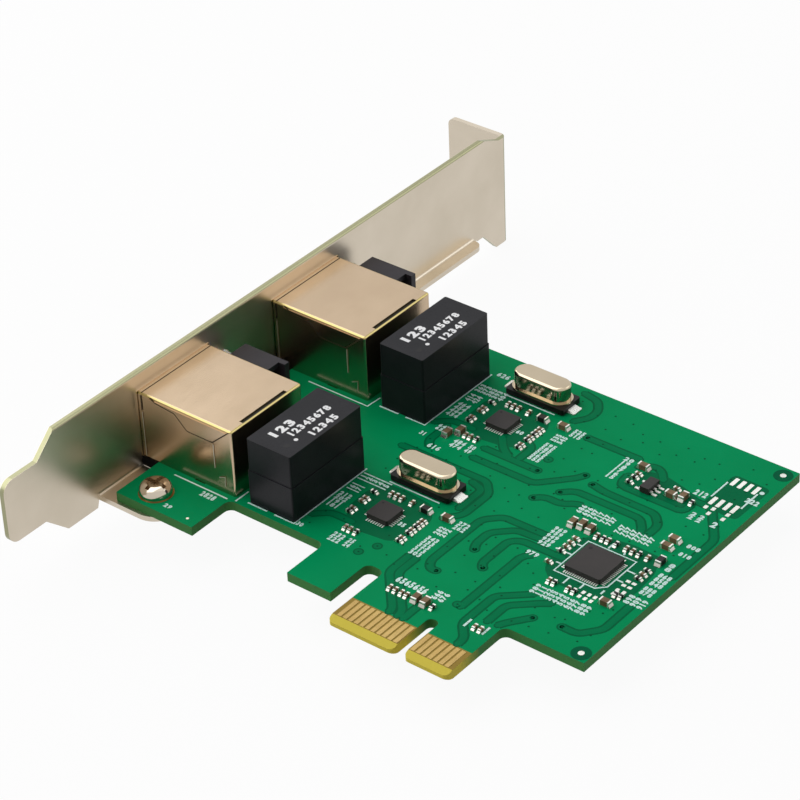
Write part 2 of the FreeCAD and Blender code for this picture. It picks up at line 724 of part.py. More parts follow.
# Spring wires: a pin through the board, a run along the socket floor, and a leaf folded back up.
def make_wires(port):
    half = number("wire_thickness/2")
    floor = number("socket_floor + wire_lift")
    upper = floor + 2*half
    fold = number("wire_fold")
    tip = number("wire_tip")
    tip_height = number("wire_tip_height")
    lowest = -number("board_thickness + pin_below")
    width = number("wire_width")
    wires = []
    for x, y in wire_places(port):
        profile = [
            (fold, floor), (x - half, floor), (x - half, lowest), (x + half, lowest),
            (x + half, upper), (fold + 5*half, upper), (tip, tip_height), (tip, tip_height + 2*half),
            (fold, upper + half),
        ]
        wires.append(drawn_out(profile, y - width/2, width))
    keep(group(f"jack_wires_{port + 1}", wires), f"jack_wires_{port + 1}")


# Lamp holder: a block with two bores, and two side walls behind it that guard the bent leads.
def make_lamp_holder(port):
    shift = port_shift(port)
    near_side = f"jack_near + jack_width + holder_gap + {shift}"
    middle = lamp_middle(port)
    body = block(f"holder_body_{port}", ("holder_front", near_side, "0"),
                 ("holder_wall_end - holder_front", "holder_width", "holder_height"))
    recess = block(f"holder_recess_{port}",
                   ("holder_back", f"{near_side} + holder_wall", "-holder_wall"),
                   ("holder_wall_end", "holder_width - 2*holder_wall", "holder_height + 2*holder_wall"))
    bores = []
    for level in ("lamp_low", "lamp_high"):
        bores.append(rod(f"holder_bore_{level}_{port}", ("0", middle, level),
                         "lamp_radius + lamp_fit", "lamp_back + lamp_fit", "x"))
        bores.append(block(f"holder_channel_{level}_{port}",
                           ("lamp_back", f"{middle} - lead_spread/2 - lead_channel/2",
                            f"{level} - lead_channel/2"),
                           ("holder_back", "lead_spread + lead_channel", "lead_channel")))
    hollow = joined(f"holder_hollow_{port}", [recess] + bores)
    shell = less(f"holder_shell_{port}", body, [hollow])
    roof = block(f"holder_roof_{port}", ("holder_back", near_side, "holder_height - holder_roof"),
                 ("holder_roof_end - holder_back", "holder_width", "holder_roof"))
    keep(joined(f"lamp_holder_{port + 1}", [shell, roof]), f"lamp_holder_{port + 1}")


# Two clear lamps with round noses, seen in the bracket's holes.
def make_lamps(port):
    radius = number("lamp_radius")
    nose = -number("lamp_nose")
    back = number("lamp_back")
    y = number(lamp_middle(port))
    along = FreeCAD.Vector(1, 0, 0)
    lamps = []
    for level in (number("lamp_low"), number("lamp_high")):
        start = FreeCAD.Vector(nose + radius, y, level)
        barrel = Part.makeCylinder(radius, back - nose - radius, start, along)
        dome = Part.makeSphere(radius, start)
        lamps.append(barrel.fuse(dome).removeSplitter())
    keep(group(f"lamps_{port + 1}", lamps), f"lamps_{port + 1}")


def make_lamp_leads(port):
    wire = number("lead_thickness")
    back = number("lamp_back")
    lowest = -number("board_thickness + pin_below")
    levels = [number("lamp_low")]*2 + [number("lamp_high")]*2
    leads = []
    for (x, y), level in zip(lead_places(port), levels):
        profile = [
            (back, level - wire/2), (x - wire/2, level - wire/2), (x - wire/2, lowest),
            (x + wire/2, lowest), (x + wire/2, level + wire/2), (back, level + wire/2),
        ]
        leads.append(drawn_out(profile, y - wire/2, wire))
    keep(group(f"lamp_leads_{port + 1}", leads), f"lamp_leads_{port + 1}")


# Transformer: a base and a cover that meet at a seam, and two rows of pins.
def make_transformer(port):
    shift = f"{port}*transformer_pitch"
    base = block(f"transformer_base_block_{port}",
                 ("transformer_left", f"transformer_near + {shift}", "0"),
                 ("transformer_length", "transformer_width", "transformer_seam"))
    keep(round_edges(f"transformer_base_{port + 1}", base, "z", "case_round", lambda middle: True),
         f"transformer_base_{port + 1}")
    cover = block(f"transformer_cover_block_{port}",
                  ("transformer_left + cover_step", f"transformer_near + cover_step + {shift}",
                   "transformer_seam"),
                  ("transformer_length - 2*cover_step", "transformer_width - 2*cover_step",
                   "transformer_height - transformer_seam"))
    keep(round_edges(f"transformer_cover_{port + 1}", cover, "z", "case_round", lambda middle: True),
         f"transformer_cover_{port + 1}")
    lowest = number("board_thickness + pin_below")
    pins = [Part.makeCylinder(number("transformer_pin_radius"), lowest, FreeCAD.Vector(x, y, -lowest))
            for x, y in transformer_pin_places(port)]
    keep(group(f"transformer_pins_{port + 1}", pins), f"transformer_pins_{port + 1}")


# Crystal: a pressed can with a rim, on a flat insulating base with a terminal at each end.
def make_crystal(port):
    x = f"crystal_x + {port}*crystal_far_step"
    y = f"crystal_y + {port}*crystal_pitch"
    base_low = "terminal_thickness"
    base_top = f"{base_low} + crystal_base_height"

    def slab(name, length, width, low, height, radius):
        box = block(f"{name}_{port}", (f"{x} - ({length})/2", f"{y} - ({width})/2", low),
                    (length, width, height))
        return round_edges(f"{name}_round_{port}", box, "z", radius, lambda middle: True)

    base = slab("crystal_base_slab", "crystal_base_length", "crystal_base_width", base_low,
                "crystal_base_height", "crystal_base_round")
    keep(base, f"crystal_base_{port + 1}")
    rim_length = "crystal_base_length - 2*crystal_rim_inset"
    rim_width = "crystal_base_width - 2*crystal_rim_inset"
    rim = slab("crystal_rim", rim_length, rim_width, base_top, "crystal_rim_height",
               f"({rim_width})*0.49")
    can = slab("crystal_can_wall", "crystal_can_length", "crystal_can_width", base_top,
               f"crystal_height - ({base_top})", "crystal_can_width*0.49")
    doc.recompute()
    top = number("crystal_height")
    crown = doc.addObject("Part::Fillet", f"crystal_crown_{port}")
    crown.Base = can
    soft = number("crystal_can_round")
    crown.Edges = [(index, soft, soft) for index, edge in enumerate(can.Shape.Edges, 1)
                   if near(edge.BoundBox.ZMin, top)]
    keep(joined(f"crystal_can_{port + 1}", [rim, crown]), f"crystal_can_{port + 1}")
    half = number("crystal_base_length/2")
    reach = number("terminal_reach")
    width = number("terminal_width")
    centre_x = number(x)
    centre_y = number(y)
    terminals = []
    for side in (-1, 1):
        start = centre_x + side*half - (reach if side < 0 else reach)
        terminals.append(solid_box(start, centre_y - width/2, 0, 2*reach, width,
                                   number("terminal_thickness")))
    keep(group(f"crystal_terminals_{port + 1}", terminals), f"crystal_terminals_{port + 1}")


# Flat square chip with a row of pads along each side.
def make_chip(label, centre_x, centre_y, side, pads_per_side, pitch):
    body = block(label + "_block",
                 (f"{centre_x} - {side}/2", f"{centre_y} - {side}/2", "chip_lift"),
                 (side, side, "chip_height - chip_lift"))
    rounded = round_edges(label + "_rounded", body, "z", "chip_corner", lambda middle: True)
    keep(rounded, label)
    x = number(centre_x)
    y = number(centre_y)
    half = number(f"{side}/2")
    step = number(pitch)
    width = number("chip_pad_width")
    inside = number("chip_pad_inside")
    length = inside + number("chip_pad_outside")
    height = number("chip_lift")
    pads = []
    for index in range(pads_per_side):
        along = (index - (pads_per_side - 1)/2)*step - width/2
        pads.append(solid_box(x + half - inside, y + along, 0, length, width, height))
        pads.append(solid_box(x - half + inside - length, y + along, 0, length, width, height))
        pads.append(solid_box(x + along, y + half - inside, 0, width, length, height))
        pads.append(solid_box(x + along, y - half + inside - length, 0, width, length, height))
    keep(group(label + "_pads", pads), label + "_pads")


def make_regulator():
    body = block("regulator",
                 ("regulator_x - regulator_length/2", "regulator_y - regulator_width/2", "regulator_lift"),
                 ("regulator_length", "regulator_width", "regulator_height - regulator_lift"))
    keep(body, "regulator")
    thickness = number("regulator_lead_thickness")
    width = number("regulator_lead_width")
    reach = number("regulator_lead_reach")
    rise = number("regulator_lead_exit")
    leads = []
    for side, rows in ((1, (-1, 0, 1)), (-1, (-1, 1))):
        wall = number("regulator_x") + side*number("regulator_length/2")
        knee = wall + side*reach/3
        foot = wall + side*reach
        profile = [
            (wall, rise), (knee, rise), (knee, thickness), (foot, thickness), (foot, 0),
            (knee - side*thickness, 0), (knee - side*thickness, rise - thickness),
            (wall, rise - thickness),
        ]
        for row in rows:
            y = number("regulator_y") + row*number("regulator_lead_pitch") - width/2
            leads.append(drawn_out(profile, y, width))
    keep(group("regulator_leads", leads), "regulator_leads")


# Capacitors and resistors: a body between two metal ends. Bodies and ends go to their own nodes.
def make_small_parts():
    far_chip = "port_chip_y + channel_pitch"
    spots = [
        ("port_chip_x", "port_chip_y", CAPACITORS_AT_PORT_CHIP, "capacitor", "small"),
        ("port_chip_x", "port_chip_y", RESISTORS_AT_PORT_CHIP, "resistor", "small"),
        ("port_chip_x", "port_chip_y", LARGE_CAPACITORS_AT_PORT_CHIP, "capacitor", "large"),
        ("port_chip_x", "port_chip_y", LARGE_RESISTORS_AT_PORT_CHIP, "resistor", "large"),
        ("port_chip_x", far_chip, CAPACITORS_AT_PORT_CHIP, "capacitor", "small"),
        ("port_chip_x", far_chip, RESISTORS_AT_PORT_CHIP, "resistor", "small"),
        ("port_chip_x", far_chip, LARGE_CAPACITORS_AT_PORT_CHIP, "capacitor", "large"),
        ("port_chip_x", far_chip, LARGE_RESISTORS_AT_PORT_CHIP, "resistor", "large"),
        ("port_chip_x", far_chip, LARGE_CAPACITORS_BEHIND_FAR_CHIP, "capacitor", "large"),
        ("main_chip_x", "main_chip_y", CAPACITORS_AT_MAIN_CHIP, "capacitor", "small"),
        ("main_chip_x", "main_chip_y", RESISTORS_AT_MAIN_CHIP, "resistor", "small"),
        ("main_chip_x", "main_chip_y", LARGE_CAPACITORS_AT_MAIN_CHIP, "capacitor", "large"),
        ("main_chip_x", "main_chip_y", LARGE_RESISTORS_AT_MAIN_CHIP, "resistor", "large"),
        ("regulator_x", "regulator_y", CAPACITORS_AT_REGULATOR, "capacitor", "small"),
        ("regulator_x", "regulator_y", RESISTORS_AT_REGULATOR, "resistor", "small"),
        ("regulator_x", "regulator_y", LARGE_CAPACITORS_AT_REGULATOR, "capacitor", "large"),
        ("key_centre", "finger_top", CAPACITORS_AT_FINGERS, "capacitor", "small"),
        ("key_centre", "finger_top", RESISTORS_AT_FINGERS, "resistor", "small"),
        ("key_centre", "finger_top", LARGE_CAPACITORS_AT_FINGERS, "capacitor", "large"),
    ]
    solids = {"capacitor": [], "resistor": [], "end": []}
    end = number("part_end_length")
    for anchor_x, anchor_y, steps, kind, scale in spots:
        length = number(f"{scale}_part_length")
        width = number(f"{scale}_part_width")
        height = number(f"{scale}_part_height")
        for step_x, step_y, way in steps:
            x = number(anchor_x) + step_x
            y = number(anchor_y) + step_y
            # Each stretch is its start along the part, its run, and what it is.
            stretches = [(-length/2, end, "end"), (end - length/2, length - 2*end, kind),
                         (length/2 - end, end, "end")]
            for start, run, what in stretches:
                if way == "x":
                    solid = solid_box(x + start, y - width/2, 0, run, width, height)
                else:
                    solid = solid_box(x - width/2, y + start, 0, width, run, height)
                solids[what].append(solid)
    keep(group("chip_capacitors", solids["capacitor"]), "chip_capacitors")
    keep(group("chip_resistors", solids["resistor"]), "chip_resistors")
    keep(group("small_part_ends", solids["end"]), "small_part_ends")


make_board()
make_fingers()
make_bracket()
make_screw()
for port in PORTS:
    make_shield(port)
    make_housing(port)
    make_wires(port)
    make_lamp_holder(port)
    make_lamps(port)
    make_lamp_leads(port)
    make_transformer(port)
    make_crystal(port)
    make_chip(f"port_chip_{port + 1}", "port_chip_x", f"(port_chip_y + {port}*channel_pitch)",
              "port_chip_side", PORT_CHIP_PADS, "port_chip_pad_pitch")
make_chip("main_chip", "main_chip_x", "main_chip_y", "main_chip_side", MAIN_CHIP_PADS,
          "main_chip_pad_pitch")
make_regulator()
make_small_parts()
doc.recompute()

for thing in doc.Objects:
    if "Invalid" in thing.State or "Error" in thing.State:
        raise RuntimeError(f"{thing.Label} failed to build: {thing.State}")
for node in nodes:
    if node.Shape.isNull() or not node.Shape.isValid():
        raise RuntimeError(f"{node.Label} has no valid shape")

os.makedirs("parts", exist_ok=True)
for node in nodes:
    node.Shape.exportStep(f"parts/{node.Label}.step")
    solids = len(node.Shape.Solids)
    print(f"{node.Label}: {solids} solid(s), {node.Shape.Volume:.1f} cubic millimetres")
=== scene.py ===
# %% [markdown]
# # A network interface card
# The card is a green circuit board on a tall metal bracket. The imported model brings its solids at
# their real size. This lesson gives each of them a finish, and adds what is too thin or too small
# for a solid: the conductors under the green lacquer, the white print, and the solder.
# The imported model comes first, because every place below is measured on it.

# %% Load the frame
import math
import random

import bmesh
import bpy
from mathutils import Matrix, Vector


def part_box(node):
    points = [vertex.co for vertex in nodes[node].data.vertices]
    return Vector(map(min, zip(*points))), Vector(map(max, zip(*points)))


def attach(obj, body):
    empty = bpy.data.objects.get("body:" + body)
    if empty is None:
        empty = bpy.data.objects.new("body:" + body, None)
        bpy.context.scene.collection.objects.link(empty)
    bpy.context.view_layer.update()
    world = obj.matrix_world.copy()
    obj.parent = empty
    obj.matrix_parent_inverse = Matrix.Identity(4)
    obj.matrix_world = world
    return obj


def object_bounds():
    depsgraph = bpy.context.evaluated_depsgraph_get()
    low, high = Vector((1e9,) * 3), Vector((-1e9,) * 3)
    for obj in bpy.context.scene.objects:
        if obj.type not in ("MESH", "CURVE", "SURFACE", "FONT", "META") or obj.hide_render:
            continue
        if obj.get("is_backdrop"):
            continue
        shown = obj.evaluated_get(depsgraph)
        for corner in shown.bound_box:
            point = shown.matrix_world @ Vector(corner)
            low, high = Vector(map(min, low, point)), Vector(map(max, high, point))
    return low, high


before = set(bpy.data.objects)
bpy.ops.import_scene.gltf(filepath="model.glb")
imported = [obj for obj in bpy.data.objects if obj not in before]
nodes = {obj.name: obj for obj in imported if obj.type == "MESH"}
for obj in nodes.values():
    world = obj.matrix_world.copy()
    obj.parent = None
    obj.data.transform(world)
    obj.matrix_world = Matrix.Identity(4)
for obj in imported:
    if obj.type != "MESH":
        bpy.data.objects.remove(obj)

MM = 0.001
scene = bpy.context.scene
cad_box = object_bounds()
box_sides = [round(side / MM, 2) for side in cad_box[1] - cad_box[0]]
print(len(nodes), "nodes in a box of", box_sides, "mm")

# %% [markdown]
# ## Camera
# The card is seen from its fingers' side, from above and from its free end. A camera could be
# aimed by eye, but the connector's standard sizes fix it better: its place, its three angles and
# its focal length come from the card's own corners. A long lens keeps the edges nearly parallel.

# %% Camera
CAMERA_PLACE = Vector((273.0046, -249.6253, 265.6000)) * MM
CAMERA_AZIMUTH = 0.698096
CAMERA_ELEVATION = 0.599642
CAMERA_ROLL = -0.0436133
FOCAL_PIXELS = 3057.07
IMAGE_PIXELS = 800
SENSOR_WIDTH = 36.0
NEAREST_SEEN = 10 * MM

flat_share = math.cos(CAMERA_ELEVATION)
backward = Vector((
    math.sin(CAMERA_AZIMUTH) * flat_share,
    -math.cos(CAMERA_AZIMUTH) * flat_share,
    math.sin(CAMERA_ELEVATION),
))
level_right = Vector((0, 0, 1)).cross(backward).normalized()
level_up = backward.cross(level_right)
rightward = level_right * math.cos(CAMERA_ROLL) + level_up * math.sin(CAMERA_ROLL)
upward = level_up * math.cos(CAMERA_ROLL) - level_right * math.sin(CAMERA_ROLL)

lens = bpy.data.cameras.new("camera")
lens.sensor_fit = "HORIZONTAL"
lens.sensor_width = SENSOR_WIDTH
lens.lens = FOCAL_PIXELS * SENSOR_WIDTH / IMAGE_PIXELS
lens.clip_start = NEAREST_SEEN
camera = bpy.data.objects.new("camera", lens)
scene.collection.objects.link(camera)
turn = Matrix((rightward, upward, backward)).transposed().to_4x4()
camera.matrix_world = Matrix.Translation(CAMERA_PLACE) @ turn
scene.camera = camera
scene.view_settings.view_transform = "Standard"
print("lens", round(lens.lens, 1), "mm")

# %% [markdown]
# ## Studio
# The card lies in a white tent: a pale floor, white all round and broad soft lamps. More light
# would whiten the background too, but it would bleach the card. So the floor and the world are
# white only for the rays that look at them, straight or in a reflection, and give softer light
# to everything else. A share of plain white lets the floor keep the card's shadow.

# %% Rays that see the white tent
def tent_rays(tree):
    rays = tree.nodes.new("ShaderNodeLightPath")
    seen = rays.outputs["Is Camera Ray"]
    for kind in ("Is Glossy Ray", "Is Transmission Ray"):
        either = tree.nodes.new("ShaderNodeMath")
        either.operation = "MAXIMUM"
        tree.links.new(seen, either.inputs[0])
        tree.links.new(rays.outputs[kind], either.inputs[1])
        seen = either.outputs[0]
    return seen


# %% World
WORLD_LIGHT = 0.12

world = bpy.data.worlds.new("white_tent")
scene.world = world
world.use_nodes = True
sky_tree = world.node_tree
sky = sky_tree.nodes["Background"]
sky.inputs["Color"].default_value = (1, 1, 1, 1)
level = sky_tree.nodes.new("ShaderNodeMapRange")
level.inputs["To Min"].default_value = WORLD_LIGHT
level.inputs["To Max"].default_value = 1.0
sky_tree.links.new(tent_rays(sky_tree), level.inputs["Value"])
sky_tree.links.new(level.outputs["Result"], sky.inputs["Strength"])
print("world light", WORLD_LIGHT)

# %% Floor
FLOOR_GAP = 0.02 * MM
FLOOR_SIZE = 6.0
FLOOR_WHITE_SHARE = 0.94
FLOOR_PAINT = 0.85
FLOOR_ROUGHNESS = 0.9

floor_shape = bmesh.new()
bmesh.ops.create_grid(floor_shape, x_segments=1, y_segments=1, size=FLOOR_SIZE / 2)
floor_height = cad_box[0].z - FLOOR_GAP
bmesh.ops.translate(floor_shape, verts=floor_shape.verts, vec=(0, 0, floor_height))
floor_mesh = bpy.data.meshes.new("floor")
floor_shape.to_mesh(floor_mesh)
floor_shape.free()
floor = bpy.data.objects.new("floor", floor_mesh)
scene.collection.objects.link(floor)
floor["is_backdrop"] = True

floor_finish = bpy.data.materials.new("floor_white")
floor_finish.use_nodes = True
floor_tree = floor_finish.node_tree
paint_coat = floor_tree.nodes["Principled BSDF"]
paint_coat.inputs["Base Color"].default_value = (FLOOR_PAINT, FLOOR_PAINT, FLOOR_PAINT, 1)
paint_coat.inputs["Roughness"].default_value = FLOOR_ROUGHNESS
paint_coat.inputs["Specular IOR Level"].default_value = 0.0
glow = floor_tree.nodes.new("ShaderNodeEmission")
white_part = floor_tree.nodes.new("ShaderNodeMath")
white_part.operation = "MULTIPLY"
white_part.inputs[1].default_value = FLOOR_WHITE_SHARE
floor_tree.links.new(tent_rays(floor_tree), white_part.inputs[0])
blend = floor_tree.nodes.new("ShaderNodeMixShader")
floor_tree.links.new(white_part.outputs[0], blend.inputs["Fac"])
floor_tree.links.new(paint_coat.outputs["BSDF"], blend.inputs[1])
floor_tree.links.new(glow.outputs["Emission"], blend.inputs[2])
floor_tree.links.new(blend.outputs["Shader"], floor_tree.nodes["Material Output"].inputs["Surface"])
floor_mesh.materials.append(floor_finish)
print("floor at", round(floor_height / MM, 2), "mm")

# %% [markdown]
# ## Lamps
# Three square lamps hang round the card and face its middle. The key lamp is nearly a metre wide
# and stands above the outer side of the bracket, so that the folded edges mirror it as soft lines
# and the parts throw their shadows to the free end. A small bright lamp would do the same work
# with hard shadows. The other two only lift the tops and the far side a little.

# %% Lamps
middle = (cad_box[0] + cad_box[1]) / 2


def add_lamp(name, place, size, power):
    light = bpy.data.lights.new(name, "AREA")
    light.shape = "SQUARE"
    light.size = size
    light.energy = power
    lamp = bpy.data.objects.new(name, light)
    scene.collection.objects.link(lamp)
    lamp.location = middle + Vector(place)
    lamp.rotation_mode = "QUATERNION"
    lamp.rotation_quaternion = Vector(place).to_track_quat("Z", "Y")


add_lamp("key_lamp", (-0.38, -0.10, 0.44), 0.95, 4.8)
add_lamp("top_lamp", (0.05, 0.05, 0.60), 0.50, 0.2)
add_lamp("far_lamp", (0.34, 0.38, 0.32), 0.40, 0.45)
print("lamps aim at", [round(value / MM, 1) for value in middle], "mm")

# %% [markdown]
# ## Finishes
# A finish is a Principled shader with a grain: noise on Object coordinates, in millimetres, that
# moves the colour a little, roughens the gloss and gives a slight relief. Images could do this
# too, but noise has no seams and no limit of detail. Colours are written as screen values from
# 0 to 255, because that is how they are read off a picture, and turned to linear light here.

# %% Tools for finishes
def paint(red, green, blue):
    screen = [channel / 255 for channel in (red, green, blue)]
    light = [c / 12.92 if c <= 0.04045 else ((c + 0.055) / 1.055) ** 2.4 for c in screen]
    return (*light, 1.0)


def add_node(finish, kind, values=None, links=None):
    node = finish.node_tree.nodes.new(kind)
    for socket, value in (values or {}).items():
        node.inputs[socket].default_value = value
    for socket, source in (links or {}).items():
        finish.node_tree.links.new(source, node.inputs[socket])
    return node


def shader_of(finish):
    return finish.node_tree.nodes["Principled BSDF"]


def feed(finish, source, socket):
    finish.node_tree.links.new(source, shader_of(finish).inputs[socket])


def new_finish(name, colour, roughness, metallic=0.0, shine=0.5):
    finish = bpy.data.materials.new(name)
    finish.use_nodes = True
    shader = shader_of(finish)
    shader.inputs["Specular IOR Level"].default_value = shine
    shader.inputs["Base Color"].default_value = colour
    shader.inputs["Roughness"].default_value = roughness
    shader.inputs["Metallic"].default_value = metallic
    return finish


def grain(finish, size, detail, stretch=(1, 1, 1)):
    place = add_node(finish, "ShaderNodeTexCoord").outputs["Object"]
    scale = [1 / (size * MM * longer) for longer in stretch]
    sized = add_node(finish, "ShaderNodeMapping", {"Scale": scale}, {"Vector": place})
    noise = add_node(finish, "ShaderNodeTexNoise", {"Scale": 1.0, "Detail": detail},
                     {"Vector": sized.outputs["Vector"]})
    return noise.outputs["Fac"]


def ranged(finish, source, low, high, start=0.3, end=0.7):
    values = {"From Min": start, "From Max": end, "To Min": low, "To Max": high}
    return add_node(finish, "ShaderNodeMapRange", values, {"Value": source}).outputs["Result"]


def mixed(finish, share, first, second):
    node = finish.node_tree.nodes.new("ShaderNodeMix")
    node.data_type = "RGBA"
    links = finish.node_tree.links
    links.new(share, node.inputs["Factor"])
    for socket, colour in ((node.inputs[6], first), (node.inputs[7], second)):
        if isinstance(colour, tuple):
            socket.default_value = colour
        else:
            links.new(colour, socket)
    return node.outputs[2]


def relief(finish, source, depth):
    values = {"Distance": depth * MM, "Strength": 1.0}
    bump = add_node(finish, "ShaderNodeBump", values, {"Height": source})
    feed(finish, bump.outputs["Normal"], "Normal")


print("a screen value of 128 is", round(paint(128, 128, 128)[0], 3), "in linear light")

# %% Metals
METAL_CLOUD = 9.0
SOFT_DETAIL = 3.0
SHARP_DETAIL = 4.0


def metal_finish(name, bright, dull, gloss, grain_size, depth, stretch=(1, 1, 1), metallic=1.0):
    finish = new_finish(name, bright, gloss[0], metallic)
    cloud = grain(finish, METAL_CLOUD, SOFT_DETAIL)
    feed(finish, mixed(finish, ranged(finish, cloud, 0, 1), bright, dull), "Base Color")
    fine = grain(finish, grain_size, SHARP_DETAIL, stretch)
    feed(finish, ranged(finish, fine, *gloss), "Roughness")
    relief(finish, fine, depth)
    return finish


METALS = {
    "bracket_steel": (paint(208, 197, 180), paint(198, 187, 169), (0.32, 0.36), 0.8, 0.0001,
                      (1, 6, 1)),
    "shield_metal": (paint(194, 172, 145), paint(186, 164, 137), (0.22, 0.26), 0.8, 0.0001,
                     (1, 4, 1)),
    "screw_steel": (paint(206, 196, 180), paint(190, 178, 160), (0.08, 0.18), 0.3, 0.002),
    "crystal_metal": (paint(194, 180, 156), paint(184, 170, 146), (0.10, 0.16), 0.4, 0.0006),
    "tin_plate": (paint(244, 244, 238), paint(224, 224, 218), (0.22, 0.40), 0.15, 0.006,
                  (1, 1, 1), 0.7),
    "pad_tin": (paint(250, 250, 246), paint(234, 234, 228), (0.30, 0.45), 0.15, 0.004,
                (1, 1, 1), 0.3),
    "contact_gold": (paint(222, 182, 108), paint(205, 162, 90), (0.16, 0.28), 0.3, 0.002),
    "finger_gold": (paint(176, 150, 94), paint(162, 134, 80), (0.24, 0.42), 0.25, 0.002,
                    (1, 8, 1)),
}
finishes = {name: metal_finish(name, *recipe) for name, recipe in METALS.items()}
print(len(finishes), "metals")

# %% Plastics and ceramics
MOULDED_CLOUD = 5.0


def moulded_finish(name, light, dark, gloss, grain_size, depth, shine=0.2):
    finish = new_finish(name, light, gloss[0], shine=shine)
    cloud = grain(finish, MOULDED_CLOUD, SOFT_DETAIL)
    feed(finish, mixed(finish, ranged(finish, cloud, 0, 1), light, dark), "Base Color")
    fine = grain(finish, grain_size, SOFT_DETAIL)
    feed(finish, ranged(finish, fine, *gloss), "Roughness")
    relief(finish, fine, depth)
    return finish


PLASTICS_AND_CERAMICS = {
    "socket_plastic": (paint(30, 30, 32), paint(22, 22, 24), (0.35, 0.5), 0.15, 0.004),
    "holder_plastic": (paint(46, 42, 48), paint(38, 35, 40), (0.36, 0.48), 0.12, 0.004),
    "transformer_plastic": (paint(38, 38, 42), paint(30, 30, 34), (0.26, 0.36), 0.10, 0.003,
                            0.12),
    "crystal_plastic": (paint(22, 22, 20), paint(14, 14, 13), (0.35, 0.5), 0.12, 0.004),
    "chip_plastic": (paint(54, 50, 49), paint(46, 43, 42), (0.38, 0.5), 0.08, 0.003),
    "capacitor_ceramic": (paint(144, 120, 90), paint(92, 70, 50), (0.4, 0.55), 0.2, 0.004),
    "resistor_ceramic": (paint(36, 35, 33), paint(24, 24, 23), (0.3, 0.5), 0.2, 0.004),
}
for name, recipe in PLASTICS_AND_CERAMICS.items():
    finishes[name] = moulded_finish(name, *recipe)

LAMP_MILKINESS = 0.4
LAMP_MILK_DEPTH = 0.6 * MM
lamp_plastic = moulded_finish("lamp_plastic", paint(246, 246, 242), paint(236, 236, 232),
                              (0.12, 0.2), 0.6, 0.002)
shader_of(lamp_plastic).inputs["Subsurface Weight"].default_value = LAMP_MILKINESS
shader_of(lamp_plastic).inputs["Subsurface Scale"].default_value = LAMP_MILK_DEPTH
finishes["lamp_plastic"] = lamp_plastic
print(len(finishes), "metals, plastics and ceramics")

# %% [markdown]
# ## Green board
# A board is glass cloth in resin, with a sheet of copper and a green lacquer on both faces. The
# lacquer ends short of the fingers, where the bare laminate shows between them, and the cut
# edges show the laminate too. Separate pieces could carry these three, but they are one sheet:
# the finish tells them apart by where a point lies on the board.

# %% Board finish
LACQUER_LIGHT = paint(0, 152, 94)
LACQUER_DEEP = paint(0, 143, 86)
LACQUER_SHINE = 0.03
LACQUER_CLOUD = 14.0
LACQUER_GRAIN = 0.5
LACQUER_RELIEF = 0.003
LACQUER_GLOSS = (0.30, 0.42)
LACQUER_ROUGHNESS = 0.36
LAMINATE_EDGE = paint(74, 134, 74)
LAMINATE_BARE = paint(160, 134, 66)
LAMINATE_BEVEL = paint(222, 204, 82)
BEVEL_SPREAD = (3.0 * MM, 7.5 * MM)
LACQUER_END = 5.65 * MM
TONGUE_MARGIN = 1.2 * MM
FACE_SKIN = 0.02 * MM

board_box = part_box("circuit_board")
finger_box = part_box("edge_fingers_upper")
board_thickness = board_box[1].z - board_box[0].z


def compared(finish, source, limit, operation="LESS_THAN"):
    node = add_node(finish, "ShaderNodeMath", {1: limit}, {0: source})
    node.operation = operation
    return node.outputs[0]


def both(finish, first, second):
    node = add_node(finish, "ShaderNodeMath", None, {0: first, 1: second})
    node.operation = "MULTIPLY"
    return node.outputs[0]


def board_finish():
    finish = new_finish("board_green", LACQUER_LIGHT, LACQUER_ROUGHNESS, shine=LACQUER_SHINE)
    place = add_node(finish, "ShaderNodeTexCoord").outputs["Object"]
    axes = add_node(finish, "ShaderNodeSeparateXYZ", None, {"Vector": place}).outputs
    cloud = ranged(finish, grain(finish, LACQUER_CLOUD, SOFT_DETAIL), 0, 1)
    lacquer = mixed(finish, cloud, LACQUER_LIGHT, LACQUER_DEEP)
    on_tongue = compared(finish, axes["X"], finger_box[0].x - TONGUE_MARGIN, "GREATER_THAN")
    near_fingers = both(finish, compared(finish, axes["Y"], LACQUER_END), on_tongue)
    faces = mixed(finish, near_fingers, lacquer, LAMINATE_BARE)
    to_tip = ranged(finish, axes["Y"], 1, 0, *BEVEL_SPREAD)
    edges = mixed(finish, both(finish, to_tip, on_tongue), LAMINATE_EDGE, LAMINATE_BEVEL)
    below_top = compared(finish, axes["Z"], -FACE_SKIN)
    above_back = compared(finish, axes["Z"], FACE_SKIN - board_thickness, "GREATER_THAN")
    on_edge = both(finish, below_top, above_back)
    feed(finish, mixed(finish, on_edge, faces, edges), "Base Color")
    fine = grain(finish, LACQUER_GRAIN, SOFT_DETAIL)
    feed(finish, ranged(finish, fine, *LACQUER_GLOSS), "Roughness")
    relief(finish, fine, LACQUER_RELIEF)
    return finish


finishes["board_green"] = board_finish()
print("board", round(board_thickness / MM, 2), "mm thick")

# %% [markdown]
# ## Painted highlights on cut and folded edges
# The cut edges and tight folds of the sheet metal mirror the key lamp as thin lines. A darker,
# yellower tint painted there sets the colour of these lines: a painted highlight, which on the
# bracket also darkens the edge as painted shade. Strips laid along the edges could show it, but no
# strip would follow the bracket's round corners as closely as the finish does: it takes the tint
# between the plate's two faces, and on a shield in the narrow fold below its top.

# %% Painted highlight tint on edges
EDGE_HIGHLIGHT_TINT = paint(153, 152, 120)
FOLD_HIGHLIGHT_TINT = paint(176, 160, 108)
PLATE_FACES = (0.03 * MM, 0.83 * MM)
shield_top_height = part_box("jack_shield_1")[1].z
FOLD_BAND = (shield_top_height - 0.30 * MM, shield_top_height - 0.01 * MM)


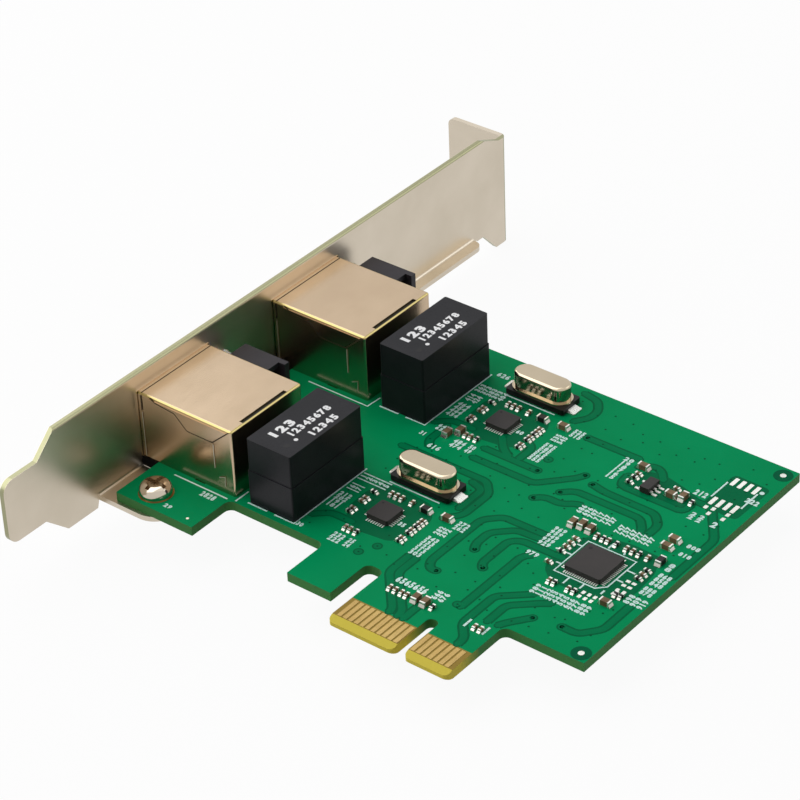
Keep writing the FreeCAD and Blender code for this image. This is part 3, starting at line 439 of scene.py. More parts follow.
def tint_between(finish, axis, limits, highlight_tint):
    place = add_node(finish, "ShaderNodeTexCoord").outputs["Object"]
    axes = add_node(finish, "ShaderNodeSeparateXYZ", None, {"Vector": place}).outputs
    above = compared(finish, axes[axis], limits[0], "GREATER_THAN")
    below = compared(finish, axes[axis], limits[1])
    plain = shader_of(finish).inputs["Base Color"].links[0].from_socket
    feed(finish, mixed(finish, both(finish, above, below), plain, highlight_tint), "Base Color")


# Painted highlight: the tint colours the lines that the plate's edges and the shields' folds mirror
# from the key lamp; on the plate it also paints the edge darker.
tint_between(finishes["bracket_steel"], "X", PLATE_FACES, EDGE_HIGHLIGHT_TINT)
tint_between(finishes["shield_metal"], "Z", FOLD_BAND, FOLD_HIGHLIGHT_TINT)
print("fold tint from", round(FOLD_BAND[0] / MM, 2), "to", round(FOLD_BAND[1] / MM, 2), "mm")

# %% [markdown]
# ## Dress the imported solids
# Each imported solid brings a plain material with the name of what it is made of. The finish of the
# same name takes its place, so a new part in the model is dressed without a new line here. Only
# the chips' pads are chosen by name: they are packed as tin plate, but look whiter and duller.

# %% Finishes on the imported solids
PAD_NODES = ("main_chip_pads", "port_chip_1_pads", "port_chip_2_pads", "regulator_leads")


def dress(node, finish):
    solid = nodes[node]
    if not solid.material_slots:
        solid.data.materials.append(finish)
    for place in solid.material_slots:
        place.material = finish


for name, solid in nodes.items():
    packed = solid.material_slots[0].material.name.split(".")[0] if solid.material_slots else ""
    if packed not in finishes:
        print("no finish for", name, packed)
    else:
        dress(name, finishes[packed])
for name in PAD_NODES:
    dress(name, finishes["pad_tin"])
print("dressed", len(nodes), "nodes")

# %% [markdown]
# ## Helpers for the new pieces
# Everything on the board is placed from the inner face of the bracket's plate, along the board,
# and from the tips of the fingers, across it, in millimetres. A piece is made as one mesh in its
# place, gets its finish and its slot, and rides with the only body that the card has.

# %% Pieces
BODY = "root"
PLATE_SHEET = 0.86
PORT_PITCH = 28.65


def on_board(along, across, height=0.0):
    return Vector((along + PLATE_SHEET, across, height)) * MM


def finished(name, shape, finish):
    bmesh.ops.recalc_face_normals(shape, faces=shape.faces)
    mesh = bpy.data.meshes.new(name)
    shape.to_mesh(mesh)
    shape.free()
    mesh.materials.append(finish)
    piece = bpy.data.objects.new(name, mesh)
    scene.collection.objects.link(piece)
    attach(piece, BODY)
    print(name, len(mesh.polygons), "faces")


def add_block(shape, low, high):
    verts = bmesh.ops.create_cube(shape, size=1.0)["verts"]
    size = high - low
    bmesh.ops.scale(shape, verts=verts, vec=size)
    bmesh.ops.translate(shape, verts=verts, vec=(low + high) / 2)
    return verts


def add_disc(shape, centre, radius, thickness, sides=20):
    verts = bmesh.ops.create_cone(shape, cap_ends=True, segments=sides, radius1=radius * MM,
                                  radius2=radius * MM, depth=thickness * MM)["verts"]
    lift = Vector((0, 0, thickness / 2 * MM))
    bmesh.ops.translate(shape, verts=verts, vec=centre + lift)


print("places are measured", PLATE_SHEET, "mm in from the bracket's outer face")

# %% [markdown]
# ## Flat lines and areas
# The print, the conductors and the seams are all flat lines. A line could be built from quads one
# by one, but its corners would need care: a curve with a square bevel keeps its width round every
# corner by itself, and is then pressed flat. An area is a closed curve, filled and made thick.
# Corners are cut twice before that, the second time by half, which leaves them softly round.

# %% Flat lines and areas
LINE_HALF_HEIGHT = 0.005
SAME_POINT = 0.001 * MM
CORNER_CUT = 0.5
CORNER_ROUNDS = 2
LONGEST_CUT = 0.4
BOARD_PLACE = Matrix.Translation(on_board(0, 0))


def softened(line, closed=False):
    cut = CORNER_CUT
    for _ in range(CORNER_ROUNDS):
        corners = [line[-1], *line, line[0]] if closed else line
        path = [] if closed else [line[0]]
        for before, corner, after in zip(corners, corners[1:], corners[2:]):
            for end in (before, after):
                reach = min(cut, math.dist(corner, end) * LONGEST_CUT) / math.dist(corner, end)
                path.append(tuple(a + (b - a) * reach for a, b in zip(corner, end)))
        line = path if closed else path + [line[-1]]
        cut = cut / 2
    return line


def curve_shape(curve):
    holder = bpy.data.objects.new("curve", curve)
    scene.collection.objects.link(holder)
    mesh = bpy.data.meshes.new_from_object(holder)
    bpy.data.objects.remove(holder)
    bpy.data.curves.remove(curve)
    shape = bmesh.new()
    shape.from_mesh(mesh)
    bpy.data.meshes.remove(mesh)
    for face in shape.faces:
        face.smooth = False
    return shape


def draw_splines(curve, lines, closed):
    for line in lines:
        spline = curve.splines.new("POLY")
        spline.points.add(len(line) - 1)
        for point, (across_plane, up_plane) in zip(spline.points, line):
            point.co = (across_plane * MM, up_plane * MM, 0.0, 1.0)
        spline.use_cyclic_u = closed


def flat_lines(lines, width, top, closed=False, place=BOARD_PLACE):
    curve = bpy.data.curves.new("lines", "CURVE")
    curve.dimensions = "3D"
    curve.twist_mode = "Z_UP"
    curve.bevel_depth = width / math.sqrt(2) * MM
    curve.bevel_resolution = 0
    curve.use_fill_caps = True
    draw_splines(curve, lines, closed)
    shape = curve_shape(curve)
    bmesh.ops.scale(shape, verts=shape.verts, vec=(1, 1, 2 * LINE_HALF_HEIGHT / width))
    bmesh.ops.translate(shape, verts=shape.verts, vec=(0, 0, (top - LINE_HALF_HEIGHT) * MM))
    bmesh.ops.transform(shape, matrix=place, verts=shape.verts)
    return shape


def flat_areas(outlines, top):
    curve = bpy.data.curves.new("areas", "CURVE")
    curve.dimensions = "2D"
    curve.fill_mode = "BOTH"
    curve.extrude = LINE_HALF_HEIGHT * MM
    draw_splines(curve, [softened(outline, closed=True) for outline in outlines], True)
    shape = curve_shape(curve)
    bmesh.ops.remove_doubles(shape, verts=shape.verts, dist=SAME_POINT)
    bmesh.ops.translate(shape, verts=shape.verts, vec=(0, 0, (top - LINE_HALF_HEIGHT) * MM))
    bmesh.ops.transform(shape, matrix=BOARD_PLACE, verts=shape.verts)
    return shape


print("lines are", 2 * LINE_HALF_HEIGHT, "mm thick")

# %% [markdown]
# ## Separate solids
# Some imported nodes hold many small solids, such as the soldered ends of every chip part. Solder
# has to be set at each of them, so a node's mesh is walked from point to point along its edges,
# and each island of points gives one box. The list could be typed in, but it would go stale.

# %% Separate solids of a node
def solid_boxes(node):
    shape = bmesh.new()
    shape.from_mesh(nodes[node].data)
    bmesh.ops.remove_doubles(shape, verts=shape.verts, dist=SAME_POINT)
    waiting = set(shape.verts)
    boxes = []
    while waiting:
        found = [waiting.pop()]
        for vert in found:
            for edge in vert.link_edges:
                other = edge.other_vert(vert)
                if other in waiting:
                    waiting.remove(other)
                    found.append(other)
        places = [vert.co.copy() for vert in found]
        low = Vector([min(place[axis] for place in places) for axis in range(3)])
        high = Vector([max(place[axis] for place in places) for axis in range(3)])
        boxes.append((low, high))
    shape.free()
    return sorted(boxes, key=lambda box: tuple(round(value, 6) for value in box[0]))


end_boxes = solid_boxes("small_part_ends")
print(len(end_boxes), "soldered ends")

# %% [markdown]
# ## Conductors under the lacquer
# The board's face is one sheet of copper, and each conductor is cut free from it by a narrow gap
# on both sides. Under the lacquer a gap looks dark and the conductor a little deeper green than
# the sheet. Cutting real grooves would need thousands of faces, so a dark band is laid down
# first, then a narrower core, each a hundredth of a millimetre thick: a curve with a flat bevel.

# %% Routes of the conductors
TRACKS = [
    [(30.0, 38.8), (46.2, 38.8), (48.4, 36.4), (48.4, 30.2), (46.6, 28.0)],
    [(61.4, 33.3), (53.6, 33.2), (51.3, 30.9), (51.3, 18.8), (52.4, 17.2), (53.4, 17.4)],
    [(61.4, 32.1), (57.0, 31.8), (54.1, 29.0), (54.1, 25.8), (54.8, 24.6)],
    [(66.4, 30.3), (59.1, 30.2), (57.6, 29.0), (57.6, 22.6), (58.4, 21.8)],
    [(62.4, 28.4), (61.3, 27.3), (61.3, 12.8)],
    [(68.0, 21.3), (63.7, 17.6), (63.7, 10.2), (66.0, 7.6), (66.0, 6.0)],
    [(71.2, 21.0), (69.8, 20.0), (66.3, 16.9), (66.3, 12.4)],
    [(70.9, 16.8), (68.6, 13.8), (68.0, 12.6)],
    [(48.1, 18.2), (48.1, 13.4), (53.9, 6.9), (53.9, 6.0)],
    [(49.3, 18.2), (49.3, 13.9), (55.4, 7.2), (55.4, 6.0)],
    [(80.4, 27.0), (80.4, 20.5), (78.0, 17.6), (75.4, 17.6)],
    [(73.8, 52.7), (76.8, 52.7), (81.4, 46.4), (81.4, 35.4)],
    [(40.6, 42.5), (52.0, 42.5), (56.6, 47.4), (57.1, 48.5)],
    [(40.6, 45.4), (50.6, 45.4)],
    [(41.0, 49.4), (43.2, 46.9), (45.0, 45.8)],
    [(59.4, 47.3), (61.8, 46.8), (70.9, 46.7), (72.9, 44.6), (72.9, 42.0)],
    [(56.6, 43.0), (58.3, 44.5), (69.8, 44.5), (71.6, 42.4), (71.6, 41.8)],
    [(54.2, 39.6), (55.5, 40.7), (58.4, 40.7), (60.2, 42.1), (61.0, 42.1)],
    [(51.8, 56.6), (61.4, 56.6)],
    [(62.2, 52.4), (62.4, 50.2), (63.2, 49.5), (73.8, 49.5), (73.9, 51.6)],
    [(44.4, 66.0), (47.4, 65.4), (49.0, 63.2), (49.0, 61.0), (47.4, 58.8)],
    [(44.4, 37.5), (46.9, 36.8), (46.9, 31.0)],
    [(30.2, 17.4), (32.4, 19.4), (36.4, 19.4)],
    [(30.2, 46.4), (32.4, 48.4), (36.4, 48.4)],
    [(32.6, 46.9), (32.6, 42.2), (33.8, 40.9)],
    [(44.8, 50.6), (46.6, 49.6), (46.6, 46.2)],
    [(56.4, 10.0), (56.4, 6.0)],
    [(62.2, 54.8), (64.0, 56.4), (65.6, 56.1), (67.2, 54.2)],
]
TRACK_BAND = 1.15
TRACK_CORE = 0.72
AREA_TOP = 0.004
BAND_TOP = 0.008
CORE_TOP = 0.016

DEEPER = 0.9
LACQUER_GAP = paint(0, 104, 64)
LACQUER_CORE = paint(0, 126, 78)
LACQUER_AREA = paint(2, 112, 70)


def lacquer_finish(name, light):
    deep = tuple(channel * DEEPER for channel in light[:3]) + (1.0,)
    return moulded_finish(name, light, deep, LACQUER_GLOSS, LACQUER_GRAIN, 0.002, LACQUER_SHINE)


gap_finish = lacquer_finish("lacquer_over_gaps", LACQUER_GAP)
core_finish = lacquer_finish("lacquer_over_cores", LACQUER_CORE)
print(len(TRACKS), "routes")

# %% Bands and cores
END_PADS = [
    (53.4, 17.4), (54.8, 24.6), (58.4, 21.8), (70.9, 16.8), (75.4, 17.6), (57.1, 48.5),
    (50.6, 45.4), (59.4, 47.3), (56.6, 43.0), (54.2, 39.6), (43.0, 17.0), (41.6, 14.4),
    (50.3, 48.6), (60.6, 13.1), (46.6, 28.0), (51.8, 56.6),
]
PAD_BAND = 0.82
PAD_CORE = 0.58
PAD_RISE = 0.001


def tracks_shape(routes, pads, width, pad_radius, top):
    shape = flat_lines([softened(route) for route in routes], width, top)
    ends = [end for route in routes for end in (route[0], route[-1])]
    for places, radius in ((ends, width / 2), (pads, pad_radius)):
        for along, across in places:
            add_disc(shape, on_board(along, across, top - 2 * LINE_HALF_HEIGHT), radius,
                     2 * LINE_HALF_HEIGHT + PAD_RISE)
    return shape


finished("track_bands", tracks_shape(TRACKS, END_PADS, TRACK_BAND, PAD_BAND, BAND_TOP),
         gap_finish)
finished("track_cores", tracks_shape(TRACKS, END_PADS, TRACK_CORE, PAD_CORE, CORE_TOP),
         core_finish)

# %% [markdown]
# ## Ground without copper
# Round the chips the sheet of copper is cut away to make room for short conductors, and the
# laminate under the lacquer looks darker there. The same is true beside the transformers. Each
# such place is one closed outline with softened corners, filled and laid under the conductors.

# %% Places without copper
PORT_CLEARINGS = [
    [(33.4, 22.0), (35.2, 19.4), (38.6, 18.2), (43.6, 18.8), (45.4, 21.4), (45.6, 26.4),
     (43.4, 29.4), (38.2, 30.0), (34.6, 29.8), (33.2, 26.8)],
]
BOARD_CLEARINGS = [
    [(64.8, 29.6), (65.4, 27.0), (67.6, 25.2), (73.6, 24.8), (77.6, 26.0), (79.4, 29.2),
     (79.0, 34.8), (77.6, 38.6), (72.6, 38.8), (67.4, 37.8), (65.2, 35.2)],
    [(63.2, 50.8), (64.6, 48.9), (69.2, 49.0), (71.8, 50.2), (74.6, 50.6), (74.4, 53.4),
     (70.6, 54.6), (66.0, 55.6), (63.6, 54.4)],
    [(74.9, 52.4), (81.2, 52.2), (81.4, 61.4), (74.9, 61.6)],
]
clearings = BOARD_CLEARINGS + PORT_CLEARINGS
clearings += [[(along, across + PORT_PITCH) for along, across in outline]
              for outline in PORT_CLEARINGS]
finished("copper_clearings", flat_areas(clearings, AREA_TOP),
         lacquer_finish("lacquer_over_laminate", LACQUER_AREA))

# %% [markdown]
# ## Stitching holes
# Tiny plated holes tie the copper of the two faces together. They lie scattered over the sheet
# every few millimetres. Each could be drilled through the board, but the lacquer fills them, so a
# small dark disc on the face is all that shows. A loop steps over the board on a loose grid, and
# a seeded draw moves each hole off its place, so that no rows stand out.

# %% Stitching holes
HOLE_STEP = 3.4
HOLE_RADIUS = 0.17
HOLE_DRIFT = 1.1
HOLE_HEIGHT = 0.004
HOLES_ACROSS = (15.5, 66.0)
HOLES_ALONG = (31.5, 81.5)

draw = random.Random(11)
hole_places = []
across = HOLES_ACROSS[0]
while across < HOLES_ACROSS[1]:
    along = HOLES_ALONG[0]
    while along < HOLES_ALONG[1]:
        hole_places.append((along + draw.uniform(-HOLE_DRIFT, HOLE_DRIFT),
                            across + draw.uniform(-HOLE_DRIFT, HOLE_DRIFT)))
        along += HOLE_STEP
    across += HOLE_STEP


def holes_shape():
    shape = bmesh.new()
    for along, across in hole_places + END_PADS:
        add_disc(shape, on_board(along, across, CORE_TOP), HOLE_RADIUS, HOLE_HEIGHT, sides=8)
    return shape


hole_finish = lacquer_finish("lacquer_in_holes", paint(0, 84, 52))
finished("stitching_holes", holes_shape(), hole_finish)

# %% [markdown]
# ## White print
# Boards carry a white print: outlines that show where each part goes, and a short name beside
# each one. It could be an image on the board, but flat meshes stay sharp from near. The outlines
# are thin flat lines. The names aren't copied; plain numbers count the parts in their place. Each
# digit is made a mesh once and is then set many times.

# %% Outlines
PRINT_TOP = 0.030
PRINT_WIDTH = 0.20

OUTLINES = [
    [(7.3, 12.95), (17.8, 12.95)],
    [(7.6, 43.75), (19.4, 43.75), (19.6, 46.7)],
    [(19.15, 13.2), (19.15, 16.2)],
    [(34.5, 30.4), (43.9, 30.4)],
    [(34.7, 58.6), (44.1, 58.6)],
    [(75.1, 55.0), (75.1, 59.4)],
    [(80.3, 55.0), (80.3, 59.4)],
    [(70.2, 36.0), (70.2, 37.3)],
    [(72.9, 36.0), (72.5, 37.2)],
    [(69.7, 25.6), (69.7, 27.2)],
    [(72.3, 26.0), (72.3, 27.2)],
    [(66.0, 34.2), (66.9, 34.2)],
    [(64.0, 31.7), (66.9, 31.7)],
    [(66.0, 29.1), (66.9, 29.1)],
    [(75.3, 33.3), (76.8, 33.3)],
    [(75.3, 30.7), (76.5, 30.7)],
]
CHIP_FRAME = [(66.9, 35.7), (75.3, 35.7), (75.3, 28.6), (74.0, 27.3), (66.9, 27.3)]
OUTLINE_ACROSS = 0.2
OUTLINE_LEFT = 0.15
OUTLINE_RIGHT = 0.12
OUTLINE_LEG = 3.7
transformer_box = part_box("transformer_base_1")
PORT_STEP = (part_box("transformer_base_2")[0].y - transformer_box[0].y) / MM


def transformer_outline(shift):
    near = transformer_box[0].y / MM + shift - OUTLINE_ACROSS
    far = transformer_box[1].y / MM + shift + OUTLINE_ACROSS
    left = transformer_box[0].x / MM - PLATE_SHEET - OUTLINE_LEFT
    right = transformer_box[1].x / MM - PLATE_SHEET + OUTLINE_RIGHT
    return [
        [(left, near), (left + OUTLINE_LEG, near)],
        [(right - OUTLINE_LEG, near), (right, near), (right, far)],
    ]


print_finish = moulded_finish("white_print", paint(228, 252, 248), paint(210, 242, 236),
                              (0.5, 0.65), 0.1, 0.004)
outlines = OUTLINES + transformer_outline(0) + transformer_outline(PORT_STEP)
finished("print_outlines", flat_lines(outlines, PRINT_WIDTH, PRINT_TOP), print_finish)
finished("print_chip_frame", flat_lines([CHIP_FRAME], PRINT_WIDTH, PRINT_TOP, closed=True),
         print_finish)

# %% Digits
DIGIT_SIDES = 2
DIGIT_BOLD = 0.056
DIGIT_HEAVY = 0.060
DIGIT_WIDEN = 1.55
DIGIT_HALF = 0.5
DIGIT_WELD = 0.0001


def digit_mesh(letter, boldness):
    words = bpy.data.curves.new("digit", "FONT")
    words.body = letter
    words.resolution_u = DIGIT_SIDES
    words.extrude = DIGIT_HALF
    words.offset = boldness
    shape = curve_shape(words)
    bmesh.ops.remove_doubles(shape, verts=shape.verts, dist=DIGIT_WELD)
    xs = [vert.co.x for vert in shape.verts]
    ys = [vert.co.y for vert in shape.verts]
    centre = Vector((-(min(xs) + max(xs)) / 2, -(min(ys) + max(ys)) / 2, 0))
    bmesh.ops.translate(shape, verts=shape.verts, vec=centre)
    bmesh.ops.scale(shape, verts=shape.verts, vec=(1, 1 / (max(ys) - min(ys)), 1))
    mesh = bpy.data.meshes.new("digit_" + letter)
    shape.to_mesh(mesh)
    shape.free()
    return mesh


digits = {letter: digit_mesh(letter, DIGIT_BOLD) for letter in "0123456789"}
heavy_digits = {letter: digit_mesh(letter, DIGIT_HEAVY) for letter in "123"}
print("a digit has", len(digits["8"].polygons), "faces")


def add_number(shape, text, centre, length, height, turn, thickness, glyphs=digits):
    pitch = length / len(text)
    turned = Matrix.Rotation(turn, 4, "Z")
    for index, letter in enumerate(text):
        along = (index - (len(text) - 1) / 2) * pitch
        sized = Matrix.Diagonal((pitch * DIGIT_WIDEN * MM, height * MM, thickness * MM, 1))
        moved = Matrix.Translation((along * MM, 0, 0))
        glyph = glyphs[letter].copy()
        glyph.transform(Matrix.Translation(centre) @ turned @ moved @ sized)
        shape.from_mesh(glyph)
        bpy.data.meshes.remove(glyph)


# %% Numbers beside the parts
PORT_LABELS = [
    (30.0, 28.0, 35.4, 30.3), (30.2, 25.2, 32.6, 27.3), (30.2, 20.4, 32.5, 24.5),
    (35.8, 14.0, 38.0, 16.3), (38.6, 14.1, 39.8, 16.3), (49.0, 26.6, 51.1, 28.8),
    (47.4, 24.1, 49.6, 26.2), (47.4, 18.3, 49.6, 23.4), (42.0, 22.6, 43.3, 23.6),
]
BOARD_LABELS = [
    (33.2, 40.6, 35.6, 41.8), (30.3, 61.9, 32.7, 63.1), (31.4, 45.0, 32.8, 46.7),
    (50.0, 12.0, 55.5, 13.5), (56.4, 12.0, 58.7, 14.2), (61.0, 40.4, 67.4, 42.5),
    (68.4, 39.6, 74.6, 41.8), (78.9, 42.6, 81.2, 43.6), (79.0, 40.4, 81.1, 41.4),
    (79.4, 36.3, 80.5, 38.4), (79.5, 32.4, 81.7, 35.7), (79.5, 29.9, 81.6, 32.0),
    (78.8, 27.0, 82.2, 29.2), (61.0, 31.0, 63.2, 36.0), (61.0, 28.1, 63.2, 29.2),
    (66.8, 21.2, 76.5, 23.6), (75.0, 26.7, 75.9, 27.7), (63.7, 9.7, 64.8, 11.6),
    (66.9, 9.7, 68.0, 11.6), (59.3, 50.0, 61.0, 56.0), (72.4, 54.0, 74.7, 55.4),
    (79.6, 56.7, 81.9, 57.9), (75.0, 48.5, 76.0, 50.4), (76.4, 48.5, 77.4, 50.4),
    (78.8, 48.7, 79.9, 50.2), (13.6, 11.2, 16.4, 12.5), (11.1, 6.0, 12.6, 6.9),
    (29.9, 14.0, 31.1, 15.0), (30.2, 42.6, 31.4, 43.6),
]
ROW_PITCH = 1.02
ROW_SHARE = 0.94
DIGIT_PITCH = 0.75
QUARTER = math.pi / 2
PRINT_INK = 0.02
SLIM_BLOCK = 1.5
FIRST_NUMBER = 11
HIGHEST_NUMBER = 98


def label_rows(block):
    left, near, right, far = block
    wide, deep = right - left, far - near
    length, rows_room = (wide, deep) if deep >= wide or deep <= SLIM_BLOCK else (deep, wide)
    upright = length == deep and wide > SLIM_BLOCK
    count = max(1, round(rows_room / ROW_PITCH))
    pitch = rows_room / count
    for row in range(count):
        offset = (row + 0.5) * pitch
        if upright:
            yield left + offset, (near + far) / 2, length, pitch * ROW_SHARE, QUARTER
        else:
            yield (left + right) / 2, near + offset, length, pitch * ROW_SHARE, 0.0


label_shape = bmesh.new()
blocks = PORT_LABELS + [(a, b + PORT_PITCH, c, d + PORT_PITCH) for a, b, c, d in PORT_LABELS]
blocks += BOARD_LABELS
number = FIRST_NUMBER
for block in blocks:
    for along, across, length, height, turn in label_rows(block):
        text = str(number)
        while len(text) < round(length / DIGIT_PITCH):
            text = text + str(number)
        text = text[:max(1, round(length / DIGIT_PITCH))]
        add_number(label_shape, text, on_board(along, across, PRINT_TOP - PRINT_INK / 2),
                   length, height, turn, PRINT_INK)
        number = number % HIGHEST_NUMBER + 1
finished("print_numbers", label_shape, print_finish)

# %% [markdown]
# ## Print on the transformers
# Each transformer carries three rows of white print and a dot that tells where its first pin is,
# next to a shallow mark left by the mould. The print isn't copied: each row only counts from
# one. Ink lies on a surface, so the rows aren't cut into the cover but set on its top, whose
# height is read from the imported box, and they turn a quarter to run across the card.

# %% Numbers on the transformers
COVER_ROWS = [
    ("123", 23.75, 19.3, 5.6, 1.7, heavy_digits),
    ("12345678", 25.7, 23.2, 9.4, 1.35, digits),
    ("12345", 28.05, 23.6, 6.4, 1.35, digits),
]
COVER_DOT = (27.25, 18.43)
COVER_DOT_RADIUS = 0.34
MOULD_MARK = (27.2, 16.46)
MOULD_RADIUS = 0.5
MARK_HEIGHT = 0.008

cover_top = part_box("transformer_cover_1")[1].z / MM
cover_shape = bmesh.new()
mould_shape = bmesh.new()
for shift in (0, PORT_STEP):
    for text, along, across, length, height, glyphs in COVER_ROWS:
        add_number(cover_shape, text, on_board(along, across + shift, cover_top), length, height,
                   QUARTER, PRINT_INK, glyphs)
    add_disc(cover_shape, on_board(COVER_DOT[0], COVER_DOT[1] + shift, cover_top),
             COVER_DOT_RADIUS, PRINT_INK)
    add_disc(mould_shape, on_board(MOULD_MARK[0], MOULD_MARK[1] + shift, cover_top),
             MOULD_RADIUS, MARK_HEIGHT, sides=24)
cover_ink = moulded_finish("cover_ink", paint(250, 250, 250), paint(236, 236, 238),
                           (0.5, 0.65), 0.1, 0.003)
mark_finish = moulded_finish("mould_mark", paint(22, 21, 24), paint(16, 16, 18),
                             (0.4, 0.5), 0.2, 0.002)
finished("transformer_numbers", cover_shape, cover_ink)
finished("mould_marks", mould_shape, mark_finish)

# %% [markdown]
# ## Seams of the socket shields
# A shield is cut flat and folded, so it shows a seam near the plate, on its top and both sides,
# and the outline of the flap that laps over its near side. A fold this tight leaves no gap that
# light could pass, so a seam isn't cut but laid on the metal, as a dark line a seventh of a
# millimetre wide. Where a fold catches the light instead, the line is pale: the lower part of the
# near seam, a crease and a small stamped mark. A collar of solid metal on three sides closes the
# play between the shield and the bracket's window.

# %% Seams
SEAM_WIDTH = 0.14
CREASE_WIDTH = 0.12
SEAM_TOP = 0.008
SEAM_ALONG = 1.62
SEAM_AT_TOP = SEAM_ALONG + 0.06
SEAM_HALFWAY = SEAM_ALONG + 0.09
SEAM_AT_FOOT = SEAM_ALONG + 0.15
UPPER_END = 11.3
LOWER_END = 0.3
DARK_PART_ENDS = 8.6
PALE_PART_STARTS = 8.3
FLAP = [(3.42, 11.55), (4.49, 10.99), (8.35, 10.60), (10.64, 8.43), (15.62, 8.41), (19.06, 11.5)]
CREASE = [(15.8, 8.2), (15.8, 3.9)]
TICK = [(16.5, 2.5), (17.7, 3.0), (17.6, 1.3)]


def upright_place(across):
    return Matrix.Translation((0, across, 0)) @ Matrix.Rotation(QUARTER, 4, "X")


def far_place(across):
    return Matrix.Translation((0, across, 0)) @ Matrix.Rotation(-QUARTER, 4, "X")


def added(shape, other):
    mesh = bpy.data.meshes.new("joined")
    other.to_mesh(mesh)
    other.free()
    shape.from_mesh(mesh)
    bpy.data.meshes.remove(mesh)


COLLAR_STARTS = 0.80 * MM
COLLAR_ENDS = 0.98 * MM
COLLAR_LAP = 0.02 * MM
COLLAR_PLAY = 0.09 * MM

seam_shape = bmesh.new()
crease_shape = bmesh.new()
collar_shape = bmesh.new()
for node in ("jack_shield_1", "jack_shield_2"):
    low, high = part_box(node)
    near_side = upright_place(low.y)
    shield_top = Matrix.Translation((0, 0, high.z))
    dark_part = [(SEAM_AT_TOP, UPPER_END), (SEAM_HALFWAY, DARK_PART_ENDS)]
    pale_part = [(SEAM_HALFWAY, PALE_PART_STARTS), (SEAM_AT_FOOT, LOWER_END)]
    added(seam_shape, flat_lines([dark_part, FLAP], SEAM_WIDTH, SEAM_TOP, place=near_side))
    # The far side's plane is turned the other way, so its heights count down.
    up = [(SEAM_AT_TOP, -UPPER_END), (SEAM_AT_FOOT, -LOWER_END)]
    added(seam_shape, flat_lines([up], SEAM_WIDTH, SEAM_TOP, place=far_place(high.y)))
    over = [(SEAM_ALONG, low.y / MM + LOWER_END), (SEAM_ALONG, high.y / MM - LOWER_END)]
    added(seam_shape, flat_lines([over], SEAM_WIDTH, SEAM_TOP, place=shield_top))
    added(crease_shape, flat_lines([pale_part, CREASE, TICK], CREASE_WIDTH, SEAM_TOP,
                                   place=near_side))
    # The collar's three blocks stand on the near side, on the far side and across the top.
    for start_y, end_y, start_z in (
        (low.y - COLLAR_PLAY, low.y + COLLAR_LAP, COLLAR_PLAY),
        (high.y - COLLAR_LAP, high.y + COLLAR_PLAY, COLLAR_PLAY),
        (low.y + COLLAR_LAP, high.y - COLLAR_LAP, high.z - COLLAR_LAP),
    ):
        add_block(collar_shape, Vector((COLLAR_STARTS, start_y, start_z)),
                  Vector((COLLAR_ENDS, end_y, high.z + COLLAR_PLAY)))
seam_finish = moulded_finish("seam_shadow", paint(70, 56, 38), paint(56, 44, 30),
                             (0.5, 0.6), 0.3, 0.002)
finished("shield_seams", seam_shape, seam_finish)
crease_finish = metal_finish("crease_shine", paint(206, 198, 182), paint(188, 178, 160),
                             (0.45, 0.55), 0.3, 0.002, metallic=0.4)
finished("shield_creases", crease_shape, crease_finish)
finished("shield_collars", collar_shape, finishes["shield_metal"])

# %% [markdown]
# ## Painted shade in the slot behind the bracket
# Between the bracket's plate and the board's edge runs a slot three millimetres wide. The
# photograph shows it dark, with no view of the floor, so something closes it: most likely a strip
# of black foam. It lies in deep shade, so black blocks close it as painted shade, and the floor
# isn't seen through it. Left open, it would send a bright streak into both shields. Each stretch
# between the sockets gets a block with softened edges, which stays just below the board's face.

# %% Painted shade blocks
STRIP_EDGE = 0.12 * MM
STRIP_PLAY = 0.02 * MM
STRIP_TOP = -0.06 * MM
TAB_ROOT_FAR = 13.6 * MM

housings = [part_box("jack_housing_1"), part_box("jack_housing_2")]
stretches = [
    (TAB_ROOT_FAR, housings[0][0].y),
    (housings[0][1].y, housings[1][0].y),
    (housings[1][1].y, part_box("lamp_holder_2")[1].y),
]
slot_shade_shape = bmesh.new()
for start, end in stretches:
    add_block(slot_shade_shape,
              Vector((PLATE_SHEET * MM + STRIP_PLAY, start + STRIP_PLAY, -board_thickness)),
              Vector((board_box[0].x - STRIP_PLAY, end - STRIP_PLAY, STRIP_TOP)))
bmesh.ops.bevel(slot_shade_shape, geom=slot_shade_shape.edges[:], offset=STRIP_EDGE, affect="EDGES",
                segments=2, profile=0.5, material=-1)
# Painted shade: these black blocks stand for the shade in the slot.
slot_shade_finish = moulded_finish("slot_painted_shade", paint(20, 20, 20), paint(12, 12, 12), (0.8, 0.95),
                             0.2, 0.02, 0.1)
finished("slot_shade_blocks", slot_shade_shape, slot_shade_finish)

# %% [markdown]
# ## Solder
# Each small part is held by a drop of solder at both ends, a bright wedge that runs from the
# part's end down to its pad. The wedge is a block whose outer upper edge is pulled down, and a
# small bevel makes it catch the light. Where a part's end points is found from the nearest body.

# %% Solder at the small parts
SOLDER_REACH = 0.26
SOLDER_SIDE = 0.04
SOLDER_FOOT = 0.05
SOLDER_CLIMB = 0.62
SOLDER_LAP = 0.01
SOLDER_GROUND = 0.001
SOLDER_BEVEL = 0.03

